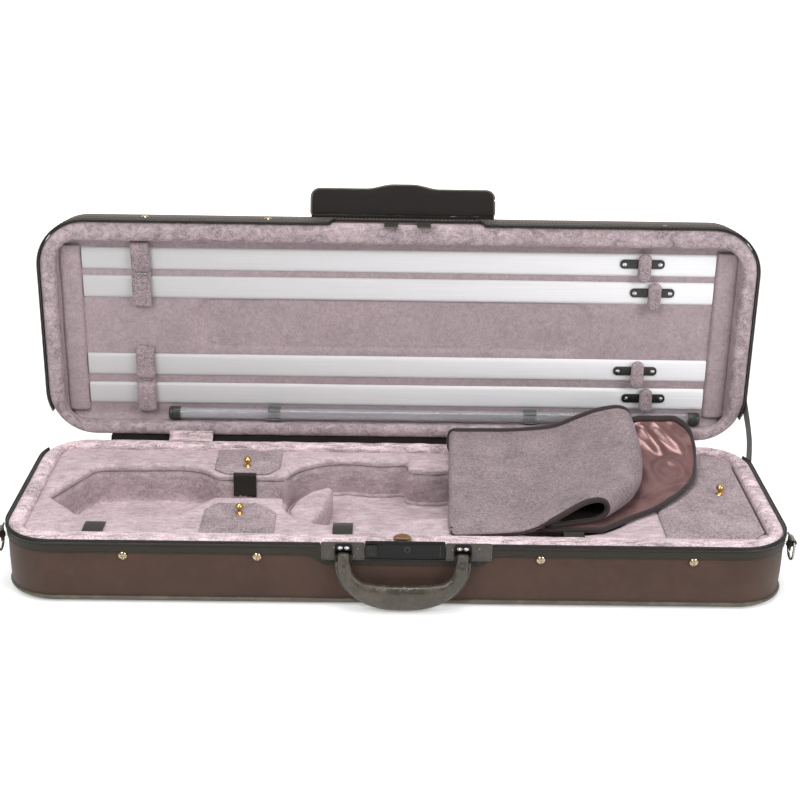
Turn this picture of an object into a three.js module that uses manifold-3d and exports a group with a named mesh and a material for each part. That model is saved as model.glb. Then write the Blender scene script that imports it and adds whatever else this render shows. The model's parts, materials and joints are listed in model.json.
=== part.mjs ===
// Oblong violin case, standing open: a padded base and lid joined by two butt hinges at the back.
// Millimetres. +X runs along the case, +Y to the back, +Z up. The origin is the centre of the underside.
import * as THREE from "three";
import { mergeVertices } from "three/addons/utils/BufferGeometryUtils.js";
import Module from "manifold-3d";

const wasm = await Module();
wasm.setup();

// ---- driving dimensions ----
const LENGTH = 800;
const DEPTH = 256;
const BASE_HEIGHT = 72; // the plane where base and lid meet
const LID_HEIGHT = 44;
const CORNER_RADIUS = 54;
const WALL = 7;
const FLOOR = 7;
const GAP = 0.3; // between pieces that touch
const SEAM = 1; // the rolls stop this far short of the meeting plane
const TAPE = 1.2; // zipper tape
const TAPE_BAND = [56, 70.6]; // heights of the tape on the base
const ROLL = { front: 24, rear: 17, side: 19, height: 11, edge: 3, innerCorner: 17 };
const DECK = 65; // top of the base lining
const CAVITY_FLOOR = 19;
const NECK_FLOOR = 30;
const PANEL = 22; // the lid's inner panel, from the meeting plane
const LOCK_X = 8;
const HINGE_X = 237;
const HINGE_WIDTH = 46;
const KNUCKLE = 1.8;
const FRONT = -DEPTH / 2;
const BACK = DEPTH / 2;
const SKIN = TAPE + GAP; // the covered shell stands this far inside the tape
const ROUND_STEPS = 6;

// ---- materials ----
const finish = (color, roughness, metalness = 0) =>
  new THREE.MeshStandardMaterial({ color, roughness, metalness });
const FINISH = {
  cover: finish(0x5a4a42, 0.85),
  plush: finish(0xb3a0a6, 0.95),
  tape: finish(0x302e2b, 0.8),
  satin: finish(0x6e4648, 0.35),
  ribbon: finish(0xdcdadc, 0.35),
  leather: finish(0x4c4a42, 0.5),
  tabLeather: finish(0x6b4a22, 0.6),
  blackMetal: finish(0x1f2120, 0.35, 0.5),
  steel: finish(0x8c8a88, 0.35, 1),
  brass: finish(0xd9ae55, 0.2, 1),
  vinyl: finish(0x4d4741, 0.5),
  clear: finish(0xc9c8cc, 0.1),
  rubber: finish(0x222222, 0.6),
};

// ---- solids: three.js geometry, joined and cut ----
function solid(geometry) {
  const bare = geometry.clone();
  bare.deleteAttribute("normal");
  bare.deleteAttribute("uv");
  const merged = mergeVertices(bare, 1e-4);
  const vertProperties = new Float32Array(merged.attributes.position.array);
  const triVerts = new Uint32Array(merged.index.array);
  return new wasm.Manifold(new wasm.Mesh({ numProp: 3, vertProperties, triVerts }));
}

function geometryOf(body) {
  const { vertProperties, triVerts } = body.getMesh();
  const geometry = new THREE.BufferGeometry();
  geometry.setAttribute("position", new THREE.BufferAttribute(vertProperties, 3));
  geometry.setIndex(new THREE.BufferAttribute(triVerts, 1));
  geometry.computeVertexNormals();
  return geometry;
}

const join = (first, ...rest) => rest.reduce((sum, next) => sum.add(next), first);
const cut = (first, ...rest) => rest.reduce((left, next) => left.subtract(next), first);

function piece(name, body, material, position = [0, 0, 0]) {
  const geometry = body instanceof THREE.BufferGeometry ? body : geometryOf(body);
  const mesh = new THREE.Mesh(geometry, material);
  mesh.name = name;
  mesh.position.set(...position);
  return mesh;
}

// ---- outlines ----
const polygon = (points) => new THREE.Shape(points.map(([a, b]) => new THREE.Vector2(a, b)));

const rectangle = (a0, a1, b0, b1) => polygon([[a0, b0], [a1, b0], [a1, b1], [a0, b1]]);

function roundedRectangle(a0, a1, b0, b1, radius, steps = ROUND_STEPS) {
  const [left, right, low, high] = [a0 + radius, a1 - radius, b0 + radius, b1 - radius];
  const corners = [[right, low], [right, high], [left, high], [left, low]];
  const points = corners.flatMap(([a, b], quarter) =>
    Array.from({ length: steps + 1 }, (_, i) => {
      const angle = (Math.PI / 2) * (quarter - 1 + i / steps);
      return [a + radius * Math.cos(angle), b + radius * Math.sin(angle)];
    }),
  );
  return polygon(points);
}

// the case's own outline, brought in from its outside by the same distance all round
const caseOutline = (inset) =>
  roundedRectangle(-LENGTH / 2 + inset, LENGTH / 2 - inset, FRONT + inset, BACK - inset, CORNER_RADIUS - inset);

const rollOpening = (extra = 0) =>
  roundedRectangle(
    -LENGTH / 2 + ROLL.side + extra,
    LENGTH / 2 - ROLL.side - extra,
    FRONT + ROLL.front + extra,
    BACK - ROLL.rear - extra,
    ROLL.innerCorner,
  );

function smoothOutline(points, count) {
  const corners = points.map(([a, b]) => new THREE.Vector3(a, b, 0));
  const curve = new THREE.CatmullRomCurve3(corners, true, "centripetal");
  return new THREE.Shape(curve.getPoints(count).slice(0, -1).map((p) => new THREE.Vector2(p.x, p.y)));
}

// ---- prisms: an outline pushed along an axis, with its edges rounded by bevel ----
const TURN = {
  z: new THREE.Matrix4(),
  y: new THREE.Matrix4().makeRotationX(Math.PI / 2),
  x: new THREE.Matrix4().makeBasis(
    new THREE.Vector3(0, 1, 0),
    new THREE.Vector3(0, 0, 1),
    new THREE.Vector3(1, 0, 0),
  ),
};

function prism(axis, outline, from, to, bevel = 0) {
  const geometry = new THREE.ExtrudeGeometry(outline, {
    depth: to - from - 2 * bevel,
    bevelEnabled: bevel > 0,
    bevelThickness: bevel,
    bevelSize: bevel,
    bevelOffset: -bevel,
    bevelSegments: 1,
    curveSegments: ROUND_STEPS,
  });
  geometry.translate(0, 0, axis === "y" ? bevel - to : from + bevel);
  return solid(geometry.applyMatrix4(TURN[axis]));
}

const block = (x0, x1, y0, y1, z0, z1) => prism("z", rectangle(x0, x1, y0, y1), z0, z1);

function rod(axis, radius, from, to, [a, b], sides = 12) {
  const corners = Array.from({ length: sides }, (_, i) => {
    const angle = (2 * Math.PI * (i + 0.5)) / sides;
    return [a + radius * Math.cos(angle), b + radius * Math.sin(angle)];
  });
  return prism(axis, polygon(corners), from, to);
}

function ring(axis, outer, inner, from, to, bevel = 0) {
  outer.holes.push(inner);
  return prism(axis, outer, from, to, bevel);
}

// rings of points, each with the same number, skinned into one closed body
function loft(rings) {
  const count = rings[0].length;
  const points = rings.flat();
  const faces = [];
  for (let r = 0; r + 1 < rings.length; r++) {
    for (let i = 0; i < count; i++) {
      const a = r * count + i;
      const b = r * count + ((i + 1) % count);
      faces.push(a, b, b + count, a, b + count, a + count);
    }
  }
  const last = (rings.length - 1) * count;
  for (let i = 1; i + 1 < count; i++) {
    faces.push(0, i + 1, i, last, last + i, last + i + 1);
  }
  const geometry = new THREE.BufferGeometry();
  geometry.setAttribute("position", new THREE.Float32BufferAttribute(points.flat(), 3));
  geometry.setIndex(faces);
  return solid(geometry);
}

// ---- base: shell, lining, rim roll ----
function baseShell() {
  const top = BASE_HEIGHT - SEAM - ROLL.height - GAP;
  const body = prism("z", caseOutline(SKIN), 0, BASE_HEIGHT, 4);
  const pocket = prism("z", caseOutline(SKIN + WALL), FLOOR, BASE_HEIGHT + 1);
  return cut(body, pocket, block(-LENGTH, LENGTH, -DEPTH, DEPTH, top, BASE_HEIGHT + 1));
}

const BODY_REAR_SIDE = [
  [-121, 40], [-116, 56], [-100, 73], [-78, 84], [-54, 88], [-20, 82], [12, 87], [60, 90],
  [100, 98], [145, 103], [190, 101], [226, 86], [245, 52], [250, 5],
];
const BODY_FRONT_SIDE = [
  [245, -42], [226, -76], [190, -92], [145, -95], [105, -84], [80, -66], [54, -54], [19, -60],
  [-6, -63], [-31, -67], [-50, -75], [-75, -74], [-100, -62], [-115, -46], [-121, -20],
];
const PEG_ROOM = [
  [-371, -14], [-331, -59], [-229, -58], [-196, -12], [-196, 41], [-216, 60], [-236, 66], [-334, 62],
];
const NECK_CHANNEL = { x: [-200, -112], y: [-12.5, 41.5] };
const WAIST_PAD = { x: [12, 62], y: [67, 120], bulge: 5 };

function waistPad() {
  const [x0, x1] = WAIST_PAD.x;
  const shape = new THREE.Shape();
  shape.moveTo(x1, WAIST_PAD.y[1]);
  shape.lineTo(x0, WAIST_PAD.y[1]);
  shape.lineTo(x0, WAIST_PAD.y[0]);
  shape.quadraticCurveTo((x0 + x1) / 2, WAIST_PAD.y[0] - 2 * WAIST_PAD.bulge, x1, WAIST_PAD.y[0]);
  return prism("z", shape, 0, BASE_HEIGHT);
}

function instrumentHollow() {
  const top = BASE_HEIGHT;
  const outline = smoothOutline([...BODY_REAR_SIDE, ...BODY_FRONT_SIDE].reverse(), 64);
  const body = cut(prism("z", outline, CAVITY_FLOOR, top), waistPad());
  const pegRoom = prism("z", polygon(PEG_ROOM), CAVITY_FLOOR, top);
  const neck = block(...NECK_CHANNEL.x, ...NECK_CHANNEL.y, NECK_FLOOR, top);
  return join(body, pegRoom, neck);
}

// ---- accessory compartments: a pocket, a ledge round it and a hinged cover, each an outline in plan ----
const COVER_THICKNESS = 3;
const COVER_TOP = DECK + 1.3;
const POCKET_FLOOR = 12;
const REAR_HINGE_Y = BACK - ROLL.rear - 2;
const FRONT_HINGE_Y = FRONT + ROLL.front + 1.5;
const RIGHT_HINGE_X = 274;
const RIGHT_EDGE = LENGTH / 2 - ROLL.side - 3;
const COVERS = {
  rear: {
    outline: [
      [-203, REAR_HINGE_Y], [-203, 56], [-190, 44.5], [-142, 44.5], [-129.5, 62], [-129.5, REAR_HINGE_Y],
    ],
    pocket: [-197, -136, 56, 104],
    knob: [-166, 61],
  },
  front: {
    outline: [
      [-202, FRONT_HINGE_Y], [-125.5, FRONT_HINGE_Y], [-125.5, -53], [-136, -38], [-148, -29.5],
      [-189, -29.5], [-202, -46],
    ],
    pocket: [-194, -141, -97, -42],
    knob: [-164, -57],
  },
  right: {
    outline: [
      [RIGHT_HINGE_X, -100], [364, -100], [RIGHT_EDGE, -84], [RIGHT_EDGE, 93], [366, 107],
      [RIGHT_HINGE_X, 107],
    ],
    pocket: [280, 380.5, -84, 92],
    knob: [349, 3],
  },
};

const centreOf = (points) => [0, 1].map((k) => points.reduce((sum, p) => sum + p[k], 0) / points.length);

// an outline grown by about the same distance all round
function grown(points, distance) {
  const centre = centreOf(points);
  return points.map((p) => p.map((v, k) => v + Math.sign(v - centre[k]) * distance));
}

function accessoryRecess({ outline, pocket }) {
  const seat = prism("z", polygon(grown(outline, GAP)), COVER_TOP - COVER_THICKNESS - GAP, BASE_HEIGHT);
  return join(seat, block(...pocket, POCKET_FLOOR, BASE_HEIGHT));
}

const accessoryCover = ({ outline }) => prism("z", polygon(outline), COVER_TOP - COVER_THICKNESS, COVER_TOP);

function baseLining() {
  const rollBottom = BASE_HEIGHT - SEAM - ROLL.height;
  const lower = prism("z", caseOutline(SKIN + WALL + GAP), FLOOR + GAP, rollBottom - GAP);
  const upper = prism("z", rollOpening(GAP), rollBottom - 2 * GAP, DECK);
  const recesses = Object.values(COVERS).map(accessoryRecess);
  return cut(join(lower, upper), instrumentHollow(), ...recesses);
}

const rimRoll = (bottom) =>
  ring("z", caseOutline(SKIN), rollOpening(), bottom, bottom + ROLL.height, ROLL.edge);

const KNOB_PROFILE = [
  [0, 0], [4.6, 0], [4.6, 1], [2.3, 2.1], [1.8, 4],
  [3.4, 5.2], [4.5, 7.6], [3.9, 10.2], [2.2, 11.9], [0, 12.3],
];

function knob() {
  const geometry = new THREE.LatheGeometry(KNOB_PROFILE.map(([r, h]) => new THREE.Vector2(r, h)), 12);
  return solid(geometry.rotateX(Math.PI / 2));
}

// ---- pieces lying in the base ----
const SUSPENSION_OUTLINE = [
  [-112, -40], [-116, -14], [-108, 15], [-93, 36], [-75, 47], [-70, 44], [-76, 0], [-84, -30], [-97, -48],
];
const suspensionPad = () => prism("z", polygon(SUSPENSION_OUTLINE), CAVITY_FLOOR + GAP, 51, 3);

const NECK_STRAP = { x: [-180, -155], bottom: 40, top: 67.5, thickness: 1.8 };

function neckStrap() {
  const wall = NECK_CHANNEL.y[1] - GAP;
  const { x, bottom, top, thickness } = NECK_STRAP;
  const side = polygon([
    [wall - thickness, bottom],
    [wall, bottom],
    [wall, DECK + 0.4],
    [wall + 2, DECK + 0.6],
    [wall + 2, top],
    [wall - 0.8, top],
    [wall - thickness, DECK],
  ]);
  return prism("x", side, ...x);
}

// The blanket is one quilt folded double: the fold is at its left, and its upper layer rises to the right
// into a loose roll, beyond which the lower layer shows. Each row is a place along Y with the right end of
// the lower layer, that layer's height, the right side of the roll, its height and the height at the left.
const BLANKET_LEFT = 56;
const BLANKET_BOTTOM = COVER_TOP + 0.6;
const BLANKET_ROWS = [
  { y: -101, tail: 204, tailTop: 72, roll: 190, rollTop: 90, leftTop: 72 },
  { y: -42, tail: 255, tailTop: 74, roll: 240, rollTop: 100, leftTop: 79 },
  { y: 5, tail: 300, tailTop: 76, roll: 260, rollTop: 106, leftTop: 84 },
  { y: 50, tail: 330, tailTop: 86, roll: 266, rollTop: 116, leftTop: 89 },
  { y: 107, tail: 336, tailTop: 112, roll: 262, rollTop: 126, leftTop: 95 },
];

const blanketSection = ({ y, tail, tailTop, roll, rollTop, leftTop }) => [
  [BLANKET_LEFT, y, BLANKET_BOTTOM],
  [tail, y, BLANKET_BOTTOM],
  [tail, y, tailTop],
  [roll + 2, y, tailTop],
  [roll, y, rollTop - 12],
  [roll - 14, y, rollTop],
  [roll - 40, y, rollTop - 3],
  [roll - 90, y, leftTop + 2],
  [BLANKET_LEFT, y, leftTop],
];

// ---- front of the base: zipper tape, lock, facing, handle ----
const TAPE_DIP = [[-100, 0], [-90, 0], [-74, -10.5], [84, -10.5], [100, 0], [110, 0]];
const TAPE_DIP_TOP = [[110, 0], [104, 0], [90, -14.4], [-80, -14.4], [-94, 0], [-100, 0]];

// the tape runs round the front and both ends, and turns aside in front to pass the lock
function zipperTape(bottom, top, aside) {
  const band = ring("z", caseOutline(0), caseOutline(TAPE), bottom, top);
  const open = [
    block(-LENGTH, LENGTH, 100, DEPTH, 0, 2 * BASE_HEIGHT),
    block(-95, 105, -DEPTH, FRONT + 2 * SKIN, 0, 2 * BASE_HEIGHT),
  ];
  const [outer, inner] = aside < 0 ? [bottom, top] : [top, bottom];
  const dip = [
    ...TAPE_DIP.map(([x, drop]) => [x, outer - aside * drop]),
    ...TAPE_DIP_TOP.map(([x, drop]) => [x, inner - aside * drop]),
  ];
  return join(cut(band, ...open), prism("y", polygon(dip), FRONT, FRONT + TAPE));
}

const LOCK = { half: 40, z: [56.3, 73], back: FRONT + TAPE, front: FRONT - 3.9 };
const HASP = { offset: 18, half: 7.5, reach: 9, thickness: 1 };
const HASP_BACK = FRONT + 1;
const haspPlaces = [LOCK_X - HASP.offset, LOCK_X + HASP.offset];

function lockBody() {
  const plan = rectangle(LOCK_X - LOCK.half, LOCK_X + LOCK.half, LOCK.front, LOCK.back);
  const housing = prism("z", plan, ...LOCK.z);
  const slots = haspPlaces.map((x) =>
    block(x - HASP.half - 0.6, x + HASP.half + 0.6, HASP_BACK - HASP.thickness - 0.5, 0, 60, BASE_HEIGHT + 2),
  );
  const keyhole = join(
    rod("y", 1.5, LOCK.front - 1, LOCK.front + 2, [LOCK_X + 2, -66]),
    block(LOCK_X + 1.4, LOCK_X + 2.6, LOCK.front - 1, LOCK.front + 2, 62, 66),
  );
  return cut(housing, ...slots, keyhole);
}

function lockFacing() {
  const plate = prism("y", roundedRectangle(-76, 95, 52.5, 72, 2, 2), FRONT - GAP - TAPE, FRONT - GAP);
  const lockRoom = block(LOCK_X - LOCK.half - GAP, LOCK_X + LOCK.half + GAP, -DEPTH, 0, LOCK.z[0] - GAP, 80);
  return cut(plate, lockRoom);
}

function lockSlide() {
  const left = LOCK_X - LOCK.half;
  return prism("y", roundedRectangle(left + 1, left + 12, 59, 71, 1, 2), LOCK.front - 1.7, LOCK.front - GAP);
}

function thumbTab() {
  const shape = new THREE.Shape();
  shape.absarc(0, 0, 9, 0, Math.PI);
  return prism("z", shape, 0, 1);
}

const HANDLE = {
  x: 6, reach: 59.5, pivotY: FRONT - 8, pivotZ: 59, drop: 39.5, lean: 3.6, roundness: 2.6, end: 4.5,
};
const HANDLE_STEPS = 22;
const HANDLE_SIDES = 10;
const legPlaces = [HANDLE.x - HANDLE.reach, HANDLE.x + HANDLE.reach];

// the handle's middle line: a squared half ellipse hanging from its two pivots, leaning out at the bottom
function handlePoint(turn) {
  const power = 2 / HANDLE.roundness;
  const across = -Math.sign(Math.cos(turn)) * Math.abs(Math.cos(turn)) ** power;
  const down = Math.abs(Math.sin(turn)) ** power;
  const { x, reach, pivotY, lean, pivotZ, drop } = HANDLE;
  return [x + reach * across, pivotY - lean * down, pivotZ - drop * down];
}

function handleRing(step) {
  const turn = (Math.PI / 2) * (1 - Math.cos((Math.PI * step) / HANDLE_STEPS));
  const [before, here, after] = [turn - 0.005, turn, turn + 0.005].map(handlePoint);
  const along = [after[0] - before[0], after[2] - before[2]];
  const size = Math.hypot(...along);
  const [nx, nz] = [along[1] / size, -along[0] / size];
  const grip = Math.sin(turn) ** 4;
  const leg = THREE.MathUtils.smoothstep(Math.sin(turn), 0.1, 0.35);
  const wide = 4.8 + 2.2 * leg + 5 * grip;
  const thick = 4 + 1.4 * leg + 2.4 * grip;
  const points = [];
  for (let i = 0; i < HANDLE_SIDES; i++) {
    const angle = (2 * Math.PI * i) / HANDLE_SIDES;
    const [a, b] = [wide * Math.cos(angle), thick * Math.sin(angle)];
    points.push([here[0] + nx * a, here[1] + b, here[2] + nz * a]);
  }
  return points;
}

function handle() {
  const rings = Array.from({ length: HANDLE_STEPS - 1 }, (_, i) => handleRing(i + 1));
  const eyes = legPlaces.map((x) => rod("x", HANDLE.end, x - 5, x + 5, [HANDLE.pivotY, HANDLE.pivotZ]));
  const bores = legPlaces.map((x) => rod("x", 2.2, x - 9, x + 9, [HANDLE.pivotY, HANDLE.pivotZ]));
  return cut(join(loft(rings), ...eyes), ...bores);
}

function handleBracket(x) {
  const { pivotY: y, pivotZ: z } = HANDLE;
  const face = FRONT - GAP - TAPE - GAP;
  return join(
    prism("y", roundedRectangle(x - 9, x + 9, 55, 70, 2, 2), face - 1, face),
    block(x - 7.4, x - 5.4, y - 2.5, face - 0.5, z - 3, z + 3),
    block(x + 5.4, x + 7.4, y - 2.5, face - 0.5, z - 3, z + 3),
    rod("x", 1.8, x - 7, x + 7, [y, z]),
  );
}

// ---- carrying rings at the two ends ----
const RING = { y: -93, z: 62, out: 4, half: 12, wire: 3, drop: 10 };
const TAB_HALF = 7;

function carryingRing() {
  const outer = new THREE.Shape();
  outer.absarc(0, -RING.drop, RING.half, Math.PI, 2 * Math.PI);
  outer.lineTo(RING.half, RING.wire / 2);
  outer.lineTo(-RING.half, RING.wire / 2);
  const inner = new THREE.Path();
  const bore = RING.half - RING.wire;
  inner.absarc(0, -RING.drop, bore, Math.PI, 2 * Math.PI);
  inner.lineTo(bore, -RING.wire / 2);
  inner.lineTo(-bore, -RING.wire / 2);
  return ring("x", outer, inner, -RING.wire / 2, RING.wire / 2);
}

function ringTab() {
  const plate = block(-RING.out + GAP, -RING.out + 1.8, -10, 10, -9, 6);
  const loop = rod("x", 3.7, -TAB_HALF, TAB_HALF, [0, 0]).rotate([0, 0, 90]);
  const bore = rod("x", 2.5, -10, 10, [0, 0]).rotate([0, 0, 90]);
  const clearance = block(-2.5, 2.5, -10, 10, -2.5, 2.5);
  return cut(join(plate, loop), cut(bore, block(-9, -RING.out + 1.8, -20, 20, -9, 9)), clearance);
}

// ---- hinges: a leaf on each half, knuckles on the meeting line, and a pin ----
const LEAF = { z: [50, 69.8], y: [BACK - TAPE, BACK], bore: 1.15, pin: 0.85 };
const THIRD = HINGE_WIDTH / 6;

function hingeLeaf(x, thirds, side) {
  const flip = (z) => (side < 0 ? z : 2 * BASE_HEIGHT - z);
  const level = (a, b) => [flip(a), flip(b)].sort((p, q) => p - q);
  const half = HINGE_WIDTH / 2;
  const knuckles = thirds.flatMap(([from, to]) => [
    block(x + from, x + to, ...LEAF.y, ...level(LEAF.z[1] - 1, BASE_HEIGHT)),
    rod("x", KNUCKLE, x + from, x + to, [BACK, BASE_HEIGHT]),
  ]);
  const leaf = block(x - half, x + half, ...LEAF.y, ...level(...LEAF.z));
  return cut(join(leaf, ...knuckles), rod("x", LEAF.bore, x - half - 1, x + half + 1, [BACK, BASE_HEIGHT]));
}

const OUTER_THIRDS = [[-HINGE_WIDTH / 2, -THIRD - GAP], [THIRD + GAP, HINGE_WIDTH / 2]];
const MIDDLE_THIRD = [[-THIRD, THIRD]];

const hingePin = (x) =>
  rod("x", LEAF.pin, x - HINGE_WIDTH / 2 - 0.5, x + HINGE_WIDTH / 2 + 0.5, [BACK, BASE_HEIGHT]);

// a strip of cover cloth joins base and lid behind the hinges
function rearCoverStrip() {
  const half = 330;
  const side = polygon([
    [BACK + 0.4, 40], [BACK + 1.4, 40], [BACK + 1.4, 66.2], [BACK + 6, BASE_HEIGHT - 1.3],
    [BACK + 32, BASE_HEIGHT - 1.3], [BACK + 32, BASE_HEIGHT - 0.3], [BACK + 5.5, BASE_HEIGHT - 0.3],
    [BACK + 0.4, 66.6],
  ]);
  return prism("x", side, -half, half);
}

// the loose end of the zipper tape, sewn to the right-hand end of base and lid
function zipperTail() {
  const shape = new THREE.Shape();
  shape.moveTo(82, 60);
  shape.quadraticCurveTo(82, 92, 108, 110);
  shape.lineTo(131, 126);
  shape.lineTo(143, 111);
  shape.quadraticCurveTo(104, 88, 103, 60);
  return prism("x", shape, LENGTH / 2 + GAP, LENGTH / 2 + GAP + 1);
}

// ---- lid, drawn closed on the base and then turned open about the hinge line ----
const LID_TOP = BASE_HEIGHT + LID_HEIGHT;
const LID_ROLL_BOTTOM = BASE_HEIGHT + SEAM;
const LID_WALL_BOTTOM = LID_ROLL_BOTTOM + ROLL.height + GAP;
const PANEL_Z = BASE_HEIGHT + PANEL;
const CROWN = 6;
const GUARD = { half: 354, width: 26, thickness: 2.4 };
const GUARD_Y = [-80, -47, 46, 81];
const STRAP_X = -288;
const STRAP_Y = [-63.5, 63.5];
const TURN_PLACES = [[271.5, -82], [285, -48.5], [272.5, 45.5], [284.5, 79]];
const TUBE = { y: 102.2, z: PANEL_Z - 9.2, radius: 6.5, wall: 1, x: [-257, 343] };
const CLIP_X = [-142, 154];

function lidShell() {
  const body = prism("z", caseOutline(SKIN), BASE_HEIGHT, LID_TOP, 8);
  const pocket = prism("z", caseOutline(SKIN + WALL), 0, LID_TOP - CROWN);
  return cut(body, pocket, block(-LENGTH, LENGTH, -DEPTH, DEPTH, 0, LID_WALL_BOTTOM));
}

function lidLining() {
  const body = prism("z", caseOutline(SKIN + WALL + GAP), LID_WALL_BOTTOM, LID_TOP - CROWN - GAP);
  const relief = roundedRectangle(-230, 218, -32.5, 23, 27);
  return cut(body, prism("z", rollOpening(), 0, PANEL_Z), prism("z", relief, 0, PANEL_Z + 2));
}

function bowGuard(y) {
  const { half, width, thickness } = GUARD;
  return block(-half, half, y - width / 2, y + width / 2, PANEL_Z - GAP - thickness, PANEL_Z - GAP);
}

function endBand(side) {
  const [y0, y1] = [FRONT + ROLL.front + 9, BACK - ROLL.rear - 9];
  const inner = GUARD.half + 1;
  const outer = LENGTH / 2 - ROLL.side - 1;
  const [x0, x1] = side < 0 ? [-outer, -inner] : [inner, outer];
  return prism("z", roundedRectangle(x0, x1, y0, y1, 4, 2), PANEL_Z - GAP - 4, PANEL_Z - GAP, 1);
}

// a strap over two guards, riveted between them: a bow's tip goes in under either half
function tipStrap(y) {
  const high = PANEL_Z - GAP;
  const side = polygon([
    [y - 39, high], [y - 36.5, high], [y - 34.5, high - 7.7], [y - 4.2, high - 7.7], [y - 2.4, high],
    [y + 2.4, high], [y + 4.2, high - 7.7], [y + 34.5, high - 7.7], [y + 36.5, high], [y + 39, high],
    [y + 37, high - 10.2], [y - 37, high - 10.2],
  ]);
  return prism("x", side, STRAP_X - 10.5, STRAP_X + 10.5);
}

const TURN_PLATE_TOP = PANEL_Z - 2 * GAP - GUARD.thickness;
const turnPlate = () => prism("z", roundedRectangle(-25, 25, -5.2, 5.2, 3, 2), -1.8, 0);
const TURN_BUTTON_TOP = TURN_PLATE_TOP - 1.8 - GAP;
const BUTTON = { x: [-4.9, 9.1], y: [-13, 19.5], shortEnd: 15.5, corner: 4.5, thickness: 7.4 };

// each button turns about its plate's middle and reaches further down than up; the lowest one is shorter
function turnButton(y) {
  const end = y + BUTTON.y[1] > TUBE.y - TUBE.radius - 1 ? BUTTON.shortEnd : BUTTON.y[1];
  return prism("z", roundedRectangle(...BUTTON.x, BUTTON.y[0], end, BUTTON.corner, 3), -BUTTON.thickness, 0, 2);
}

function stringTube() {
  const circle = (radius) => new THREE.Path().absarc(TUBE.y, TUBE.z, radius, 0, 2 * Math.PI);
  const outer = new THREE.Shape().absarc(TUBE.y, TUBE.z, TUBE.radius, 0, 2 * Math.PI);
  return ring("x", outer, circle(TUBE.radius - TUBE.wall), ...TUBE.x);
}

function tubeCap(end) {
  const [from, to] = end < 0 ? [TUBE.x[0] - 6, TUBE.x[0] + 7] : [TUBE.x[1] - 6, TUBE.x[1] + 7];
  const bore = end < 0 ? [TUBE.x[0] - GAP, to + 1] : [from - 1, TUBE.x[1] + GAP];
  const sides = 24;
  return cut(
    rod("x", TUBE.radius + 1.1, from, to, [TUBE.y, TUBE.z], sides),
    rod("x", TUBE.radius + 0.4, ...bore, [TUBE.y, TUBE.z], sides),
  );
}

function tubeClip(x) {
  const reach = 7;
  return cut(
    join(
      rod("x", TUBE.radius + 1.8, x - reach, x + reach, [TUBE.y, TUBE.z], 20),
      block(x - reach, x + reach, TUBE.y - 6, TUBE.y + 6, TUBE.z + 5, PANEL_Z - GAP),
    ),
    rod("x", TUBE.radius + 0.4, x - 9, x + 9, [TUBE.y, TUBE.z], 20),
    block(x - 9, x + 9, TUBE.y - 4.5, TUBE.y + 4.5, TUBE.z - 12, TUBE.z),
  );
}

function lockHasp() {
  const y = [HASP_BACK - HASP.thickness, HASP_BACK];
  const tongues = haspPlaces.map((x) =>
    block(x - HASP.half, x + HASP.half, ...y, BASE_HEIGHT - HASP.reach, BASE_HEIGHT + 13),
  );
  const [left, right] = [haspPlaces[0] - HASP.half, haspPlaces[1] + HASP.half];
  const bar = block(left, right, ...y, BASE_HEIGHT + 8, BASE_HEIGHT + 13);
  return join(bar, ...tongues);
}

// the padded flap that hangs over the lock: two wings and a deeper middle, drawn hanging from its pivot
const FLAP = {
  x: 3, half: 101, wing: 31, middle: 36, hump: 35, thickness: 5, pivotY: FRONT - 3.8, pivotZ: 96,
};
const FLAP_BACK = THREE.MathUtils.degToRad(-115);

function lidFlap() {
  const { half, wing, middle, hump } = FLAP;
  const shape = new THREE.Shape();
  shape.moveTo(-half, 0);
  shape.lineTo(-half, -wing + 11);
  shape.quadraticCurveTo(-half, -wing, -half + 11, -wing);
  shape.lineTo(-hump - 6, -wing);
  shape.quadraticCurveTo(-hump + 8, -middle, 0, -middle);
  shape.quadraticCurveTo(hump - 8, -middle, hump + 6, -wing);
  shape.lineTo(half - 11, -wing);
  shape.quadraticCurveTo(half, -wing, half, -wing + 11);
  shape.lineTo(half, 0);
  return prism("y", shape, -FLAP.thickness / 2, FLAP.thickness / 2, 1.5);
}

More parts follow.
